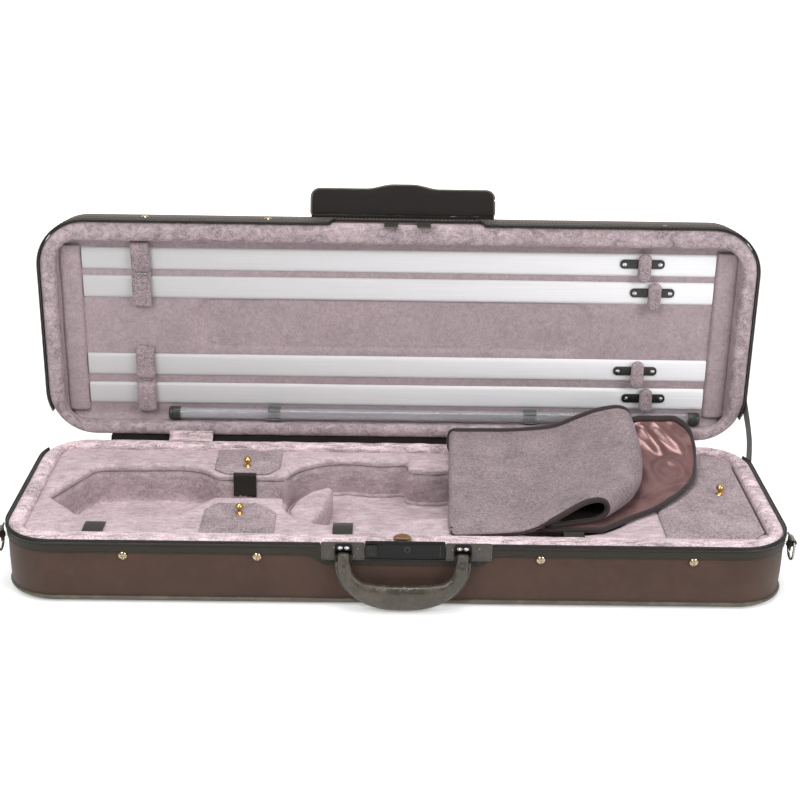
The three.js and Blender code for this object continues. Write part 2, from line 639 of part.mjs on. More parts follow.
// ---- assembly ----
function base() {
  const { cover, plush, tape, leather, tabLeather, blackMetal, steel, brass, vinyl, satin } = FINISH;
  const group = new THREE.Group();
  group.add(
    piece("base_shell", baseShell(), cover),
    piece("base_lining", baseLining(), plush),
    piece("base_rim_roll", rimRoll(BASE_HEIGHT - SEAM - ROLL.height), plush),
    piece("base_zipper_tape", zipperTape(...TAPE_BAND, -1), tape),
    piece("suspension_pad", suspensionPad(), plush),
    piece("neck_strap", neckStrap(), tape),
    piece("blanket", loft(BLANKET_ROWS.map(blanketSection).reverse()), satin),
    piece("lock_body", lockBody(), blackMetal),
    piece("lock_facing", lockFacing(), vinyl),
    piece("lock_slide", lockSlide(), blackMetal),
    piece("thumb_tab", thumbTab(), tabLeather, [LOCK_X - 3, FRONT + 7, BASE_HEIGHT - SEAM + 0.2]),
    piece("handle", handle(), leather),
    piece("rear_cover_strip", rearCoverStrip(), cover),
    piece("zipper_tail", zipperTail(), tape),
  );
  for (const [place, plan] of Object.entries(COVERS)) {
    group.add(
      piece(`accessory_lid_${place}`, accessoryCover(plan), plush),
      piece(`knob_${place}`, knob(), brass, [...plan.knob, COVER_TOP + GAP]),
    );
  }
  for (const [side, name, x] of [[-1, "left", -HINGE_X], [1, "right", HINGE_X]]) {
    const ringX = side * (LENGTH / 2 + RING.out);
    const tab = piece(`ring_tab_${name}`, ringTab(), leather, [ringX, RING.y, RING.z]);
    tab.rotation.z = side < 0 ? Math.PI : 0;
    group.add(
      tab,
      piece(`carrying_ring_${name}`, carryingRing(), steel, [ringX, RING.y, RING.z]),
      piece(`handle_bracket_${name}`, handleBracket(legPlaces[side < 0 ? 0 : 1]), blackMetal),
      piece(`hinge_leaf_base_${name}`, hingeLeaf(x, OUTER_THIRDS, -1), steel),
      piece(`hinge_pin_${name}`, hingePin(x), steel),
    );
  }
  return group;
}

function lid() {
  const { cover, plush, tape, ribbon, steel, blackMetal, clear, rubber } = FINISH;
  const closed = new THREE.Group();
  closed.position.set(0, -BACK, -BASE_HEIGHT);
  const band = TAPE_BAND.map((z) => 2 * BASE_HEIGHT - z).reverse();
  closed.add(
    piece("lid_shell", lidShell(), cover),
    piece("lid_lining", lidLining(), plush),
    piece("lid_rim_roll", rimRoll(LID_ROLL_BOTTOM), plush),
    piece("lid_zipper_tape", zipperTape(...band, 1), tape),
    piece("end_band_left", endBand(-1), plush),
    piece("end_band_right", endBand(1), plush),
    piece("tip_strap_upper", tipStrap(STRAP_Y[0]), plush),
    piece("tip_strap_lower", tipStrap(STRAP_Y[1]), plush),
    piece("string_tube", stringTube(), clear),
    piece("tube_cap_left", tubeCap(-1), rubber),
    piece("tube_cap_right", tubeCap(1), rubber),
    piece("tube_clip_left", tubeClip(CLIP_X[0]), blackMetal),
    piece("tube_clip_right", tubeClip(CLIP_X[1]), blackMetal),
    piece("lock_hasp", lockHasp(), steel),
    piece("hinge_leaf_lid_left", hingeLeaf(-HINGE_X, MIDDLE_THIRD, 1), steel),
    piece("hinge_leaf_lid_right", hingeLeaf(HINGE_X, MIDDLE_THIRD, 1), steel),
  );
  GUARD_Y.forEach((y, i) => closed.add(piece(`bow_guard_${i + 1}`, bowGuard(y), ribbon)));
  TURN_PLACES.forEach(([x, y], i) => {
    closed.add(
      piece(`turn_plate_${i + 1}`, turnPlate(), blackMetal, [x, y, TURN_PLATE_TOP]),
      piece(`turn_button_${i + 1}`, turnButton(y), plush, [x, y, TURN_BUTTON_TOP]),
    );
  });
  const flap = piece("lid_flap", lidFlap(), cover, [FLAP.x, FLAP.pivotY, FLAP.pivotZ]);
  flap.rotation.x = FLAP_BACK;
  closed.add(flap);

  const hinged = new THREE.Group();
  hinged.add(closed);
  hinged.position.set(0, BACK, BASE_HEIGHT);
  hinged.rotation.x = -Math.PI / 2;
  return hinged;
}

const violinCase = new THREE.Group();
violinCase.add(base(), lid());
export default violinCase;
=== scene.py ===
"""Violin case, standing open: cloth shells, plush padding, a folded blanket, bow holders and hardware.

Lengths inside the functions are in millimetres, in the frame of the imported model: X along the case,
Y to the back, Z up. Pieces of the lid are drawn as the lid lies closed on the base, and then opened.
"""

import json
import math

import bmesh
import bpy
import numpy as np
from bpy.props import FloatProperty, FloatVectorProperty, PointerProperty
from bpy.types import Operator, Panel, PropertyGroup
from mathutils import Matrix, Quaternion, Vector, noise
from mathutils.bvhtree import BVHTree
from mathutils.kdtree import KDTree


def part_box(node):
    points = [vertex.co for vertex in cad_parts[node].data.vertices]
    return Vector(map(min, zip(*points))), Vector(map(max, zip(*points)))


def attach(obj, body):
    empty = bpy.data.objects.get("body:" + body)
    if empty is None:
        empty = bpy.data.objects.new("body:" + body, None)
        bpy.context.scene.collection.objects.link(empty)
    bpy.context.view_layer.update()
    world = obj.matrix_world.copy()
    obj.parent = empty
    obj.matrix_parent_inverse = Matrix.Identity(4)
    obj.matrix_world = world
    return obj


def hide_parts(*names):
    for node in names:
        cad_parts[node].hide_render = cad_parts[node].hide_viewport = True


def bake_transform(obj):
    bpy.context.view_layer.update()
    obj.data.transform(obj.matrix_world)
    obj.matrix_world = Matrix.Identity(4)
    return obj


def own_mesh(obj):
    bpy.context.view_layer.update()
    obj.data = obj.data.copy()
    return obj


bl_info = {
    "name": "Violin Case",
    "version": (1, 0, 0),
    "blender": (4, 5, 0),
    "location": "View3D > Sidebar > Violin Case",
    "description": "Makes an oblong violin case round its packed frame",
    "category": "Object",
}

MM = 0.001
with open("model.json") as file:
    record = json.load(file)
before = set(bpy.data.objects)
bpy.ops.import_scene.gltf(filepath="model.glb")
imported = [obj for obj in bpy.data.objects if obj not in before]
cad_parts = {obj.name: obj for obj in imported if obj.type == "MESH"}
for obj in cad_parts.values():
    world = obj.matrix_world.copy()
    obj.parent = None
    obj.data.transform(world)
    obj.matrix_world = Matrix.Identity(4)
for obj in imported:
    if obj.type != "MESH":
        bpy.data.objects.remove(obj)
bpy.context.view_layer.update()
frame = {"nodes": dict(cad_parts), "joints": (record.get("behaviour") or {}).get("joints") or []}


def node_box(name):
    """The lowest and highest corner of a node, in millimetres."""
    low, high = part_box(name)
    return np.array(low) / MM, np.array(high) / MM


def joint_place(name):
    """A joint's point, in millimetres."""
    return np.array(next(j["pos_m"] for j in frame["joints"] if j["name"] == name)) / MM


# ---- places and sizes, from the frame ----
SKIN = 1.5  # the cloth shell lies this far inside the zipper tape
SHELL_LOW, SHELL_HIGH = node_box("base_shell")
LEFT, FRONT, _ = SHELL_LOW - SKIN
RIGHT, BACK, SHELL_TOP = SHELL_HIGH[0] + SKIN, SHELL_HIGH[1] + SKIN, SHELL_HIGH[2]
HINGE_Y, HINGE_Z = joint_place("lid_hinge")[1:]
CORNER = 54.0
ROLL_SIDE, ROLL_FRONT, ROLL_REAR, ROLL_CORNER = 19.0, 24.0, 17.0, 17.0
ROLL_LOW, ROLL_TOP = node_box("base_rim_roll")[0][2], node_box("base_rim_roll")[1][2]
DECK = node_box("base_lining")[1][2]
LID_CROWN = HINGE_Z + (node_box("lid_shell")[1][1] - HINGE_Y)
LID_WALL = HINGE_Z + (node_box("lid_shell")[0][1] - HINGE_Y)
PANEL = HINGE_Z + (node_box("bow_guard_1")[1][1] - HINGE_Y) + 0.3


def srgb(red, green, blue):
    """A colour as it is seen, from 0 to 255, in the linear values that a shader takes."""
    parts = (np.array([red, green, blue]) / 255.0) ** 2.2
    return tuple(float(p) for p in parts)


class CaseSizes(PropertyGroup):
    """Sizes of the soft goods that a maker would change."""

    piping: FloatProperty(
        name="Piping", description="Radius of the corded piping", default=2.1 * MM, unit="LENGTH"
    )
    welt: FloatProperty(
        name="Welt", description="Radius of the plush welts", default=2.6 * MM, unit="LENGTH"
    )
    quilt: FloatProperty(
        name="Quilt", description="Thickness of the blanket", default=4.6 * MM, unit="LENGTH"
    )
    binding: FloatProperty(
        name="Binding", description="Radius of the blanket's binding", default=3.0 * MM, unit="LENGTH"
    )
    stitch: FloatProperty(
        name="Stitch", description="Distance from stitch to stitch", default=4.2 * MM, unit="LENGTH"
    )
    tooth: FloatProperty(
        name="Zipper tooth", description="Distance from tooth to tooth", default=2.0 * MM, unit="LENGTH"
    )
    swell: FloatProperty(
        name="Swell", description="The most that padding swells", default=2.6 * MM, unit="LENGTH"
    )


def colour(name, description, *value):
    return FloatVectorProperty(
        name=name, description=description, default=srgb(*value), subtype="COLOR", min=0, max=1
    )


class CaseColours(PropertyGroup):
    """Colours of the case's materials."""

    cloth: colour("Cloth", "Woven cover", 76, 57, 48)
    plush: colour("Plush", "Lining", 185, 168, 172)
    tape: colour("Tape", "Zipper tape and webbing", 46, 41, 33)
    satin: colour("Satin", "The blanket's inner side", 130, 98, 96)
    binding: colour("Binding", "The blanket's bound edge", 50, 38, 36)
    ribbon: colour("Ribbon", "Bow guards", 238, 238, 240)
    leather: colour("Leather", "Handle", 70, 64, 55)
    tab: colour("Tab", "Thumb tab", 112, 82, 44)
    vinyl: colour("Facing", "Vinyl behind the lock", 66, 61, 56)
    brass: colour("Brass", "Knobs and cover screws", 232, 186, 118)


# ---- meshes ----
def rounded_rectangle(x0, x1, y0, y1, radius, corner=14, long=120, short=34):
    """Points round a rectangle with round corners, anticlockwise from the front right corner."""
    corners = [
        (x1 - radius, y0 + radius, -90),
        (x1 - radius, y1 - radius, 0),
        (x0 + radius, y1 - radius, 90),
        (x0 + radius, y0 + radius, 180),
    ]
    arcs = []
    for x, y, start in corners:
        angle = np.radians(start + np.linspace(0, 90, corner + 1))
        arcs.append(np.stack([x + radius * np.cos(angle), y + radius * np.sin(angle)], axis=1))
    rows = []
    for k, arc in enumerate(arcs):
        steps = np.linspace(0, 1, (short, long)[k % 2] + 1)[1:-1, None]
        rows += [arc, arc[-1] + (arcs[(k + 1) % 4][0] - arc[-1]) * steps]
    return np.concatenate(rows)


def case_outline(inset):
    return rounded_rectangle(LEFT + inset, RIGHT - inset, FRONT + inset, BACK - inset, CORNER - inset)


def roll_opening(extra=0.0, rounder=0.0):
    return rounded_rectangle(
        LEFT + ROLL_SIDE + extra,
        RIGHT - ROLL_SIDE - extra,
        FRONT + ROLL_FRONT + extra,
        BACK - ROLL_REAR - extra,
        ROLL_CORNER + rounder,
    )


def at_height(outline, z):
    return np.column_stack([outline, np.full(len(outline), float(z))])


def opened(points):
    """Points of the closed lid, turned back a quarter turn about the hinge line."""
    x, y, z = np.asarray(points, float).reshape(-1, 3).T
    return np.column_stack([x, HINGE_Y + (z - HINGE_Z), HINGE_Z - (y - HINGE_Y)])


def skin(rows, round_rows=False):
    """Points and faces between closed rows of points. The ends are capped unless the rows go round."""
    index = np.arange(len(rows) * len(rows[0])).reshape(len(rows), -1)
    near, far = (index, np.roll(index, -1, 0)) if round_rows else (index[:-1], index[1:])
    faces = np.stack([near, np.roll(near, -1, 1), np.roll(far, -1, 1), far], -1).reshape(-1, 4).tolist()
    if not round_rows:
        faces += [index[0][::-1].tolist(), index[-1].tolist()]
    return np.concatenate(rows), faces


def mesh_piece(name, points, faces, material, sharp=50):
    """A new piece, from points in millimetres, with its faces pointing out."""
    mesh = bpy.data.meshes.new(name)
    mesh.from_pydata((np.asarray(points, float) * MM).tolist(), [], faces)
    tidy = bmesh.new()
    tidy.from_mesh(mesh)
    bmesh.ops.recalc_face_normals(tidy, faces=tidy.faces)
    tidy.to_mesh(mesh)
    tidy.free()
    return piece_of(name, mesh, material, sharp)


def piece_of(name, mesh, material, sharp=50):
    mesh.materials.append(material)
    mesh.shade_smooth()
    mesh.set_sharp_from_angle(angle=math.radians(sharp))
    piece = bpy.data.objects.new(name, mesh)
    bpy.context.scene.collection.objects.link(piece)
    return piece


def seat(piece, body, replaces=()):
    """Lets a piece ride on a body and the nodes that it stands for."""
    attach(piece, body)
    if replaces:
        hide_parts(*replaces)
    return piece


def circle(radius, sides=12):
    angle = np.linspace(0, 2 * math.pi, sides, endpoint=False)
    return np.column_stack([radius * np.cos(angle), radius * np.sin(angle)])


def soft_bar(width, height, crown=0.0, sides=7):
    """A flat section with round edges, whose top rises by crown in the middle; its base is at 0."""
    across = np.linspace(-1, 1, 2 * sides + 1)
    top = height * (1 - across**8) ** 0.5 * 0.999 + crown * (1 - across**2)
    upper = np.column_stack([across * width / 2, np.maximum(top, 0.05 * height)])
    return np.concatenate([upper, [[width / 2, 0.0], [0.0, 0.0], [-width / 2, 0.0]]])


def sweep(path, section, up=(0, 0, 1), closed=False):
    """Rows of a section, whose points lie across and up, carried along a path."""
    path = np.asarray(path, float)
    if closed:
        along = np.roll(path, -1, 0) - np.roll(path, 1, 0)
    else:
        along = np.gradient(path, axis=0)
    along /= np.linalg.norm(along, axis=1, keepdims=True)
    side = np.cross(along, np.broadcast_to(np.asarray(up, float), path.shape))
    side /= np.linalg.norm(side, axis=1, keepdims=True)
    lift = np.cross(side, along)
    section = np.broadcast_to(section, (len(path),) + np.shape(section)[-2:])
    return path[:, None] + section[..., :1] * side[:, None] + section[..., 1:] * lift[:, None]


def smooth_path(points, count, closed=False):
    """Evenly spaced points on a smooth curve through the given ones."""
    points = np.asarray(points, float)
    if closed:
        padded = np.concatenate([points[-1:], points, points[:2]])
    else:
        padded = np.concatenate([2 * points[:1] - points[1:2], points, 2 * points[-1:] - points[-2:-1]])
    fine = []
    for a, b, c, d in zip(padded, padded[1:], padded[2:], padded[3:]):
        for t in np.linspace(0, 1, 16, endpoint=False):
            fine.append(0.5 * (2 * b + (c - a) * t + (2 * a - 5 * b + 4 * c - d) * t**2 + (3 * b - a - 3 * c + d) * t**3))
    fine.append(padded[-2])
    return evenly(np.array(fine), count, closed)


def evenly(path, count, closed=False):
    """The same path with its points evenly spaced."""
    length = np.concatenate([[0], np.cumsum(np.linalg.norm(np.diff(path, axis=0), axis=1))])
    places = np.linspace(0, length[-1], count, endpoint=not closed)
    return np.column_stack([np.interp(places, length, path[:, k]) for k in range(path.shape[1])])


def cord(name, path, radius, material, closed=False, up=(0, 0, 1), sides=10):
    return mesh_piece(name, *skin(list(sweep(path, circle(radius, sides), up, closed)), closed), material)


def wavy(points, amount, size, seed, along=None):
    """Points moved by smooth noise, by at most about amount, in lumps of about the given size."""
    points = np.asarray(points, float)
    moved = []
    for p in points:
        place = Vector(p / size) + Vector((seed * 7.3, seed * 3.1, seed * 5.7))
        step = noise.noise_vector(place)
        moved.append(step if along is None else Vector(along) * step.x)
    return points + amount * np.array(moved)


def prism(name, outline, axis, low, high, bevel, material, lid=False, sharp=35):
    """An outline pushed along an axis, with its edges rounded."""
    order = {"z": (0, 1, 2), "y": (0, 2, 1), "x": (2, 0, 1)}[axis]
    flat = np.asarray(outline, float)
    rows = []
    for level in (low, high):
        filled = np.column_stack([flat, np.full(len(flat), float(level))])
        rows.append(filled[:, list(order)])
    points, faces = skin(rows)
    if lid:
        points = opened(points)
    mesh = bpy.data.meshes.new(name)
    mesh.from_pydata((points * MM).tolist(), [], faces)
    work = bmesh.new()
    work.from_mesh(mesh)
    bmesh.ops.recalc_face_normals(work, faces=work.faces)
    if bevel:
        ends = [e for f in work.faces if len(f.verts) > 4 or len(flat) == 4 for e in f.edges]
        bmesh.ops.bevel(work, geom=list(set(ends)), offset=bevel * MM, segments=3, affect="EDGES", profile=0.6)
    work.to_mesh(mesh)
    work.free()
    return piece_of(name, mesh, material, sharp)


def lathe(profile, sides=40):
    """Points and faces of a profile of radii and heights turned about Z; it starts and ends on the axis."""
    rows = [at_height(circle(max(r, 0.01), sides), h) for r, h in profile]
    return skin(rows)


def placed(points, place, facing=(0, 0, 1)):
    """Points drawn round Z at the origin, turned to face a direction and moved to a place."""
    turn = Vector((0, 0, 1)).rotation_difference(Vector(facing)).to_matrix()
    return np.asarray(points) @ np.array(turn).T + np.asarray(place, float)


# ---- padding: a solid's copy, remeshed, rounded and swollen as cloth ----
def merged_copy(name, node):
    mesh = bpy.data.meshes.new(name)
    work = bmesh.new()
    work.from_mesh(frame["nodes"][node].data)
    bmesh.ops.remove_doubles(work, verts=work.verts, dist=1e-6)
    work.to_mesh(mesh)
    work.free()
    mesh.materials.clear()
    return mesh


def applied(piece, name):
    """The piece's mesh with its modifiers in it."""
    graph = bpy.context.evaluated_depsgraph_get()
    mesh = bpy.data.meshes.new_from_object(piece.evaluated_get(graph), depsgraph=graph)
    mesh.name = name
    piece.modifiers.clear()
    piece.data = mesh


def coordinates(mesh):
    values = np.zeros(len(mesh.vertices) * 3)
    mesh.vertices.foreach_get("co", values)
    return values.reshape(-1, 3)


def normals(mesh):
    values = np.zeros(len(mesh.vertices) * 3)
    mesh.vertices.foreach_get("normal", values)
    return values.reshape(-1, 3)


def set_coordinates(mesh, values):
    mesh.vertices.foreach_set("co", np.asarray(values, float).ravel())
    mesh.update()


def relax(mesh, rounds):
    """Moves each point half way to the middle of its neighbours, a number of times."""
    edges = np.zeros(len(mesh.edges) * 2, int)
    mesh.edges.foreach_get("vertices", edges)
    a, b = edges.reshape(-1, 2).T
    places = coordinates(mesh)
    count = np.bincount(np.concatenate([a, b]), minlength=len(places))[:, None]
    for _ in range(rounds):
        total = np.zeros_like(places)
        np.add.at(total, a, places[b])
        np.add.at(total, b, places[a])
        places = 0.5 * places + 0.5 * total / np.maximum(count, 1)
    set_coordinates(mesh, places)


def swell_as_cloth(piece, pressure, most, held=None):
    """Runs the piece as cloth with air in it. held says which points stay; most caps the movement."""
    start = coordinates(piece.data)
    cloth = piece.modifiers.new("Swell", "CLOTH")
    settings = cloth.settings
    settings.quality = 4
    settings.use_pressure = True
    settings.uniform_pressure_force = pressure
    settings.effector_weights.gravity = 0
    settings.tension_stiffness = settings.compression_stiffness = 20
    cloth.collision_settings.use_collision = False
    if held is not None:
        group = piece.vertex_groups.new(name="held")
        group.add(np.nonzero(held(start))[0].tolist(), 1.0, "REPLACE")
        settings.vertex_group_mass = "held"
    scene = bpy.context.scene
    last = 16
    cloth.point_cache.frame_end = last
    for step in range(1, last + 1):
        scene.frame_set(step)
    graph = bpy.context.evaluated_depsgraph_get()
    moved = coordinates(piece.evaluated_get(graph).data) - start
    far = np.linalg.norm(moved, axis=1, keepdims=True)
    piece.modifiers.clear()
    piece.vertex_groups.clear()
    scene.frame_set(1)
    set_coordinates(piece.data, start + moved * np.minimum(1, most / np.maximum(far, 1e-9)))


def padding(name, node, material, voxel, rounds, pressure=0.0, most=0.0, held=None):
    """A padded piece in the space of a node."""
    piece = piece_of(name, merged_copy(name, node), material, 180)
    remesh = piece.modifiers.new("Remesh", "REMESH")
    remesh.mode = "VOXEL"
    remesh.voxel_size = voxel * MM
    applied(piece, name)
    relax(piece.data, rounds)
    if pressure:
        swell_as_cloth(piece, pressure, most * MM, held)
        relax(piece.data, 1)
    piece.data.materials.clear()
    piece.data.materials.append(material)
    piece.data.shade_smooth()
    return piece


def press_seams(piece, paths, depth, reach):
    """Presses a groove into the padding along each seam, and returns the seams on its surface."""
    points = np.concatenate(paths)
    tree = KDTree(len(points))
    for i, p in enumerate(points):
        tree.insert(Vector(p * MM), i)
    tree.balance()
    mesh = piece.data
    places, outward = coordinates(mesh), normals(mesh)
    for i, p in enumerate(places):
        distance = tree.find(Vector(p))[2] / MM
        if distance < 2.5 * reach:
            places[i] = p - outward[i] * depth * MM * math.exp(-((distance / reach) ** 2))
    set_coordinates(mesh, places)
    graph = bpy.context.evaluated_depsgraph_get()
    surface = BVHTree.FromObject(piece, graph)
    return [np.array([surface.find_nearest(Vector(p * MM))[0] for p in path]) / MM for path in paths]


# ---- repeats: one shape copied to each point of a mesh ----
class Builder:
    """Adds nodes to a tree, with values or links for their inputs."""

    def __init__(self, tree):
        self.tree = tree

    def node(self, kind, inputs=None, **settings):
        made = self.tree.nodes.new(kind)
        for key, value in settings.items():
            setattr(made, key, value)
        for key, value in (inputs or {}).items():
            if isinstance(value, bpy.types.NodeSocket):
                self.tree.links.new(value, made.inputs[key])
            else:
                made.inputs[key].default_value = value
        return made

    def math(self, operation, *values):
        return self.node("ShaderNodeMath", dict(enumerate(values)), operation=operation).outputs[0]


def copies_tree():
    tree = bpy.data.node_groups.get("Copies on points")
    if tree:
        return tree
    tree = bpy.data.node_groups.new("Copies on points", "GeometryNodeTree")
    tree.interface.new_socket("Geometry", in_out="INPUT", socket_type="NodeSocketGeometry")
    tree.interface.new_socket("Shape", in_out="INPUT", socket_type="NodeSocketObject")
    tree.interface.new_socket("Size", in_out="INPUT", socket_type="NodeSocketFloat")
    tree.interface.new_socket("Finish", in_out="INPUT", socket_type="NodeSocketMaterial")
    tree.interface.new_socket("Geometry", in_out="OUTPUT", socket_type="NodeSocketGeometry")
    build = Builder(tree)
    given = build.node("NodeGroupInput").outputs
    facing = build.node("GeometryNodeInputNamedAttribute", {"Name": "facing"}, data_type="FLOAT_VECTOR")
    along = build.node("GeometryNodeInputNamedAttribute", {"Name": "along"}, data_type="FLOAT_VECTOR")
    upright = build.node(
        "FunctionNodeAlignRotationToVector", {"Vector": facing.outputs[0]}, axis="Z", pivot_axis="AUTO"
    )
    turned = build.node(
        "FunctionNodeAlignRotationToVector",
        {"Rotation": upright.outputs[0], "Vector": along.outputs[0]},
        axis="X",
        pivot_axis="Z",
    )
    shape = build.node("GeometryNodeObjectInfo", {"Object": given["Shape"]})
    copies = build.node(
        "GeometryNodeInstanceOnPoints",
        {"Points": given["Geometry"], "Instance": shape.outputs["Geometry"], "Rotation": turned.outputs[0],
         "Scale": given["Size"]},
    )
    real = build.node("GeometryNodeRealizeInstances", {"Geometry": copies.outputs[0]})
    painted = build.node(
        "GeometryNodeSetMaterial", {"Geometry": real.outputs[0], "Material": given["Finish"]}
    )
    build.node("NodeGroupOutput", {0: painted.outputs[0]})
    return tree


def repeat(name, shape, places, facing, along, material, size=1.0, sharp=40):
    """Copies a shape, drawn round Z with its length along X, to each place. The shape is removed."""
    places = np.asarray(places, float)
    mesh = bpy.data.meshes.new(name)
    mesh.from_pydata((places * MM).tolist(), [], [])
    for key, value in (("facing", facing), ("along", along)):
        values = np.broadcast_to(np.asarray(value, float), places.shape)
        mesh.attributes.new(key, "FLOAT_VECTOR", "POINT").data.foreach_set("vector", values.ravel())
    piece = bpy.data.objects.new(name, mesh)
    bpy.context.scene.collection.objects.link(piece)
    modifier = piece.modifiers.new("Copies", "NODES")
    modifier.node_group = copies_tree()
    given = {i.name: i.identifier for i in modifier.node_group.interface.items_tree if i.in_out == "INPUT"}
    modifier[given["Shape"]] = shape
    modifier[given["Size"]] = float(size)
    modifier[given["Finish"]] = material
    applied(piece, name)
    bpy.data.objects.remove(shape)
    piece.data.shade_smooth()
    piece.data.set_sharp_from_angle(angle=math.radians(sharp))
    return piece


def stitch_shape(length, width):
    rows = [
        np.column_stack([np.full(6, x), circle(max(r, 0.02), 6)])
        for x, r in ((-length / 2, 0.05), (-length / 3, width / 2), (length / 3, width / 2), (length / 2, 0.05))
    ]
    return mesh_piece("stitch_shape", *skin(rows), None)


def stitches(name, path, facing, material, pitch, width=0.7):
    """A row of stitches along a path."""
    length = np.linalg.norm(np.diff(path, axis=0), axis=1).sum()
    places = evenly(np.asarray(path, float), max(3, int(length / pitch)))
    along = np.gradient(places, axis=0)
    return repeat(name, stitch_shape(0.66 * pitch, width), places, facing, along, material)


def dome_shape(name, radius, height, rim=0.0):
    """A rivet's head, with a washer under it where rim is its width."""
    turns = np.linspace(0, math.pi / 2, 7)
    dome = [(radius * math.cos(t), 0.35 + height * math.sin(t)) for t in turns[:-1]]
    foot = [(0, 0), (radius + rim, 0), (radius + rim, 0.35), (radius + 0.1, 0.5)] if rim else [(0, 0), (radius, 0)]
    return mesh_piece(name, *lathe(foot + dome + [(0, 0.35 + height)], 20), None)


def screw_shape(name, washer, head):
    """A cross-slotted screw in a cupped washer."""
    sides, rings = 32, []
    profile = [(washer, 0.0), (washer, 0.5), (washer * 0.86, 1.05), (head * 1.12, 0.8), (head, 0.75)]
    profile += [(head * math.cos(t), 0.8 + 0.9 * math.sin(t)) for t in np.linspace(0.15, 1.45, 8)]
    for radius, height in profile:
        ring = at_height(circle(radius, sides), height)
        in_slot = (np.minimum(abs(ring[:, 0]), abs(ring[:, 1])) < 0.34) & (radius < head * 0.78)
        ring[in_slot, 2] -= 0.7
        rings.append(ring)
    return mesh_piece(name, *skin(rings), None)


# ---- shared effects of the materials ----
def new_group(name, inputs, outputs):
    tree = bpy.data.node_groups.new(name, "ShaderNodeTree")
    for label, kind, value in inputs:
        made = tree.interface.new_socket(label, in_out="INPUT", socket_type=kind)
        made.default_value = value
    for label, kind in outputs:
        tree.interface.new_socket(label, in_out="OUTPUT", socket_type=kind)
    build = Builder(tree)
    return build, build.node("NodeGroupInput").outputs


FLOAT, COLOUR, VECTOR = "NodeSocketFloat", "NodeSocketColor", "NodeSocketVector"


def pile_group():
    """Brushed plush: lighter and darker strokes, with a fine pile; the strokes are partly the crushed pile's own
    pattern and partly painted highlights where the pile catches light.
    """
    build, given = new_group(
        "Brushed pile",
        [("Strokes", FLOAT, 75.0), ("Stretch", VECTOR, (0.45, 1, 1)), ("Fine", FLOAT, 900.0)],
        [("Shade", FLOAT), ("Height", FLOAT)],
    )
    place = build.node("ShaderNodeTexCoord").outputs["Object"]
    drawn = build.node("ShaderNodeVectorMath", {0: place, 1: given["Stretch"]}, operation="MULTIPLY").outputs[0]
    broad = build.node("ShaderNodeTexNoise", {"Vector": place, "Scale": 34.0, "Detail": 3.0, "Distortion": 0.4})
    brushed = build.node(
        "ShaderNodeTexNoise", {"Vector": drawn, "Scale": given["Strokes"], "Detail": 5.0, "Roughness": 0.62,
                               "Distortion": 0.9}
    )
    fine = build.node("ShaderNodeTexNoise", {"Vector": place, "Scale": given["Fine"], "Detail": 2.0})
    soft = build.math("MULTIPLY", broad.outputs[0], 0.3)
    strokes = build.math("MULTIPLY_ADD", brushed.outputs[0], 0.7, soft)
    total = build.math("MULTIPLY_ADD", fine.outputs[0], 0.6, strokes)
    shade = build.node("ShaderNodeMapRange", {"Value": total, "From Min": 0.62, "From Max": 0.98}).outputs[0]
    tall = build.math("MULTIPLY_ADD", fine.outputs[0], 0.35, build.math("MULTIPLY", brushed.outputs[0], 0.9))
    build.node("NodeGroupOutput", {0: shade, 1: tall})
    return build.tree


def weave_group():
    """Threads over and under, on any side of a piece."""
    build, given = new_group("Weave", [("Threads", FLOAT, 5200.0)], [("Height", FLOAT), ("Fade", FLOAT)])
    place = build.node("ShaderNodeTexCoord").outputs["Object"]
    x, y, z = build.node("ShaderNodeSeparateXYZ", {0: place}).outputs
    level = build.math("MULTIPLY", build.math("ADD", x, y), given["Threads"])
    rise = build.math("MULTIPLY_ADD", build.math("SUBTRACT", x, y), 0.5, z)
    rise = build.math("MULTIPLY", rise, given["Threads"])
    crossed = build.math("MULTIPLY", build.math("SINE", level), build.math("SINE", rise))
    height = build.math("MULTIPLY_ADD", crossed, 0.5, 0.5)
    patches = build.node("ShaderNodeTexNoise", {"Vector": place, "Scale": 26.0, "Detail": 6.0, "Roughness": 0.7})
    fade = build.node("ShaderNodeMapRange", {"Value": patches.outputs[0], "From Min": 0.35, "From Max": 0.68})
    build.node("NodeGroupOutput", {0: height, 1: fade.outputs[0]})
    return build.tree


def grain_group():
    """Leather grain: small pebbles between creases."""
    build, given = new_group(
        "Grain", [("Pebbles", FLOAT, 700.0), ("Stretch", VECTOR, (1, 1, 1))], [("Height", FLOAT), ("Wear", FLOAT)]
    )
    place = build.node("ShaderNodeTexCoord").outputs["Object"]
    drawn = build.node("ShaderNodeVectorMath", {0: place, 1: given["Stretch"]}, operation="MULTIPLY").outputs[0]
    pebbles = build.node(
        "ShaderNodeTexVoronoi", {"Vector": drawn, "Scale": given["Pebbles"]}, feature="SMOOTH_F1"
    ).outputs["Distance"]
    creases = build.node(
        "ShaderNodeTexNoise", {"Vector": drawn, "Scale": 140.0, "Detail": 4.0, "Distortion": 1.5}
    ).outputs[0]
    height = build.math("MULTIPLY_ADD", creases, 0.8, build.math("MULTIPLY", pebbles, 0.6))
    worn = build.node("ShaderNodeTexNoise", {"Vector": place, "Scale": 60.0, "Detail": 5.0, "Roughness": 0.7})
    wear = build.node("ShaderNodeMapRange", {"Value": worn.outputs[0], "From Min": 0.45, "From Max": 0.7})
    build.node("NodeGroupOutput", {0: height, 1: wear.outputs[0]})
    return build.tree


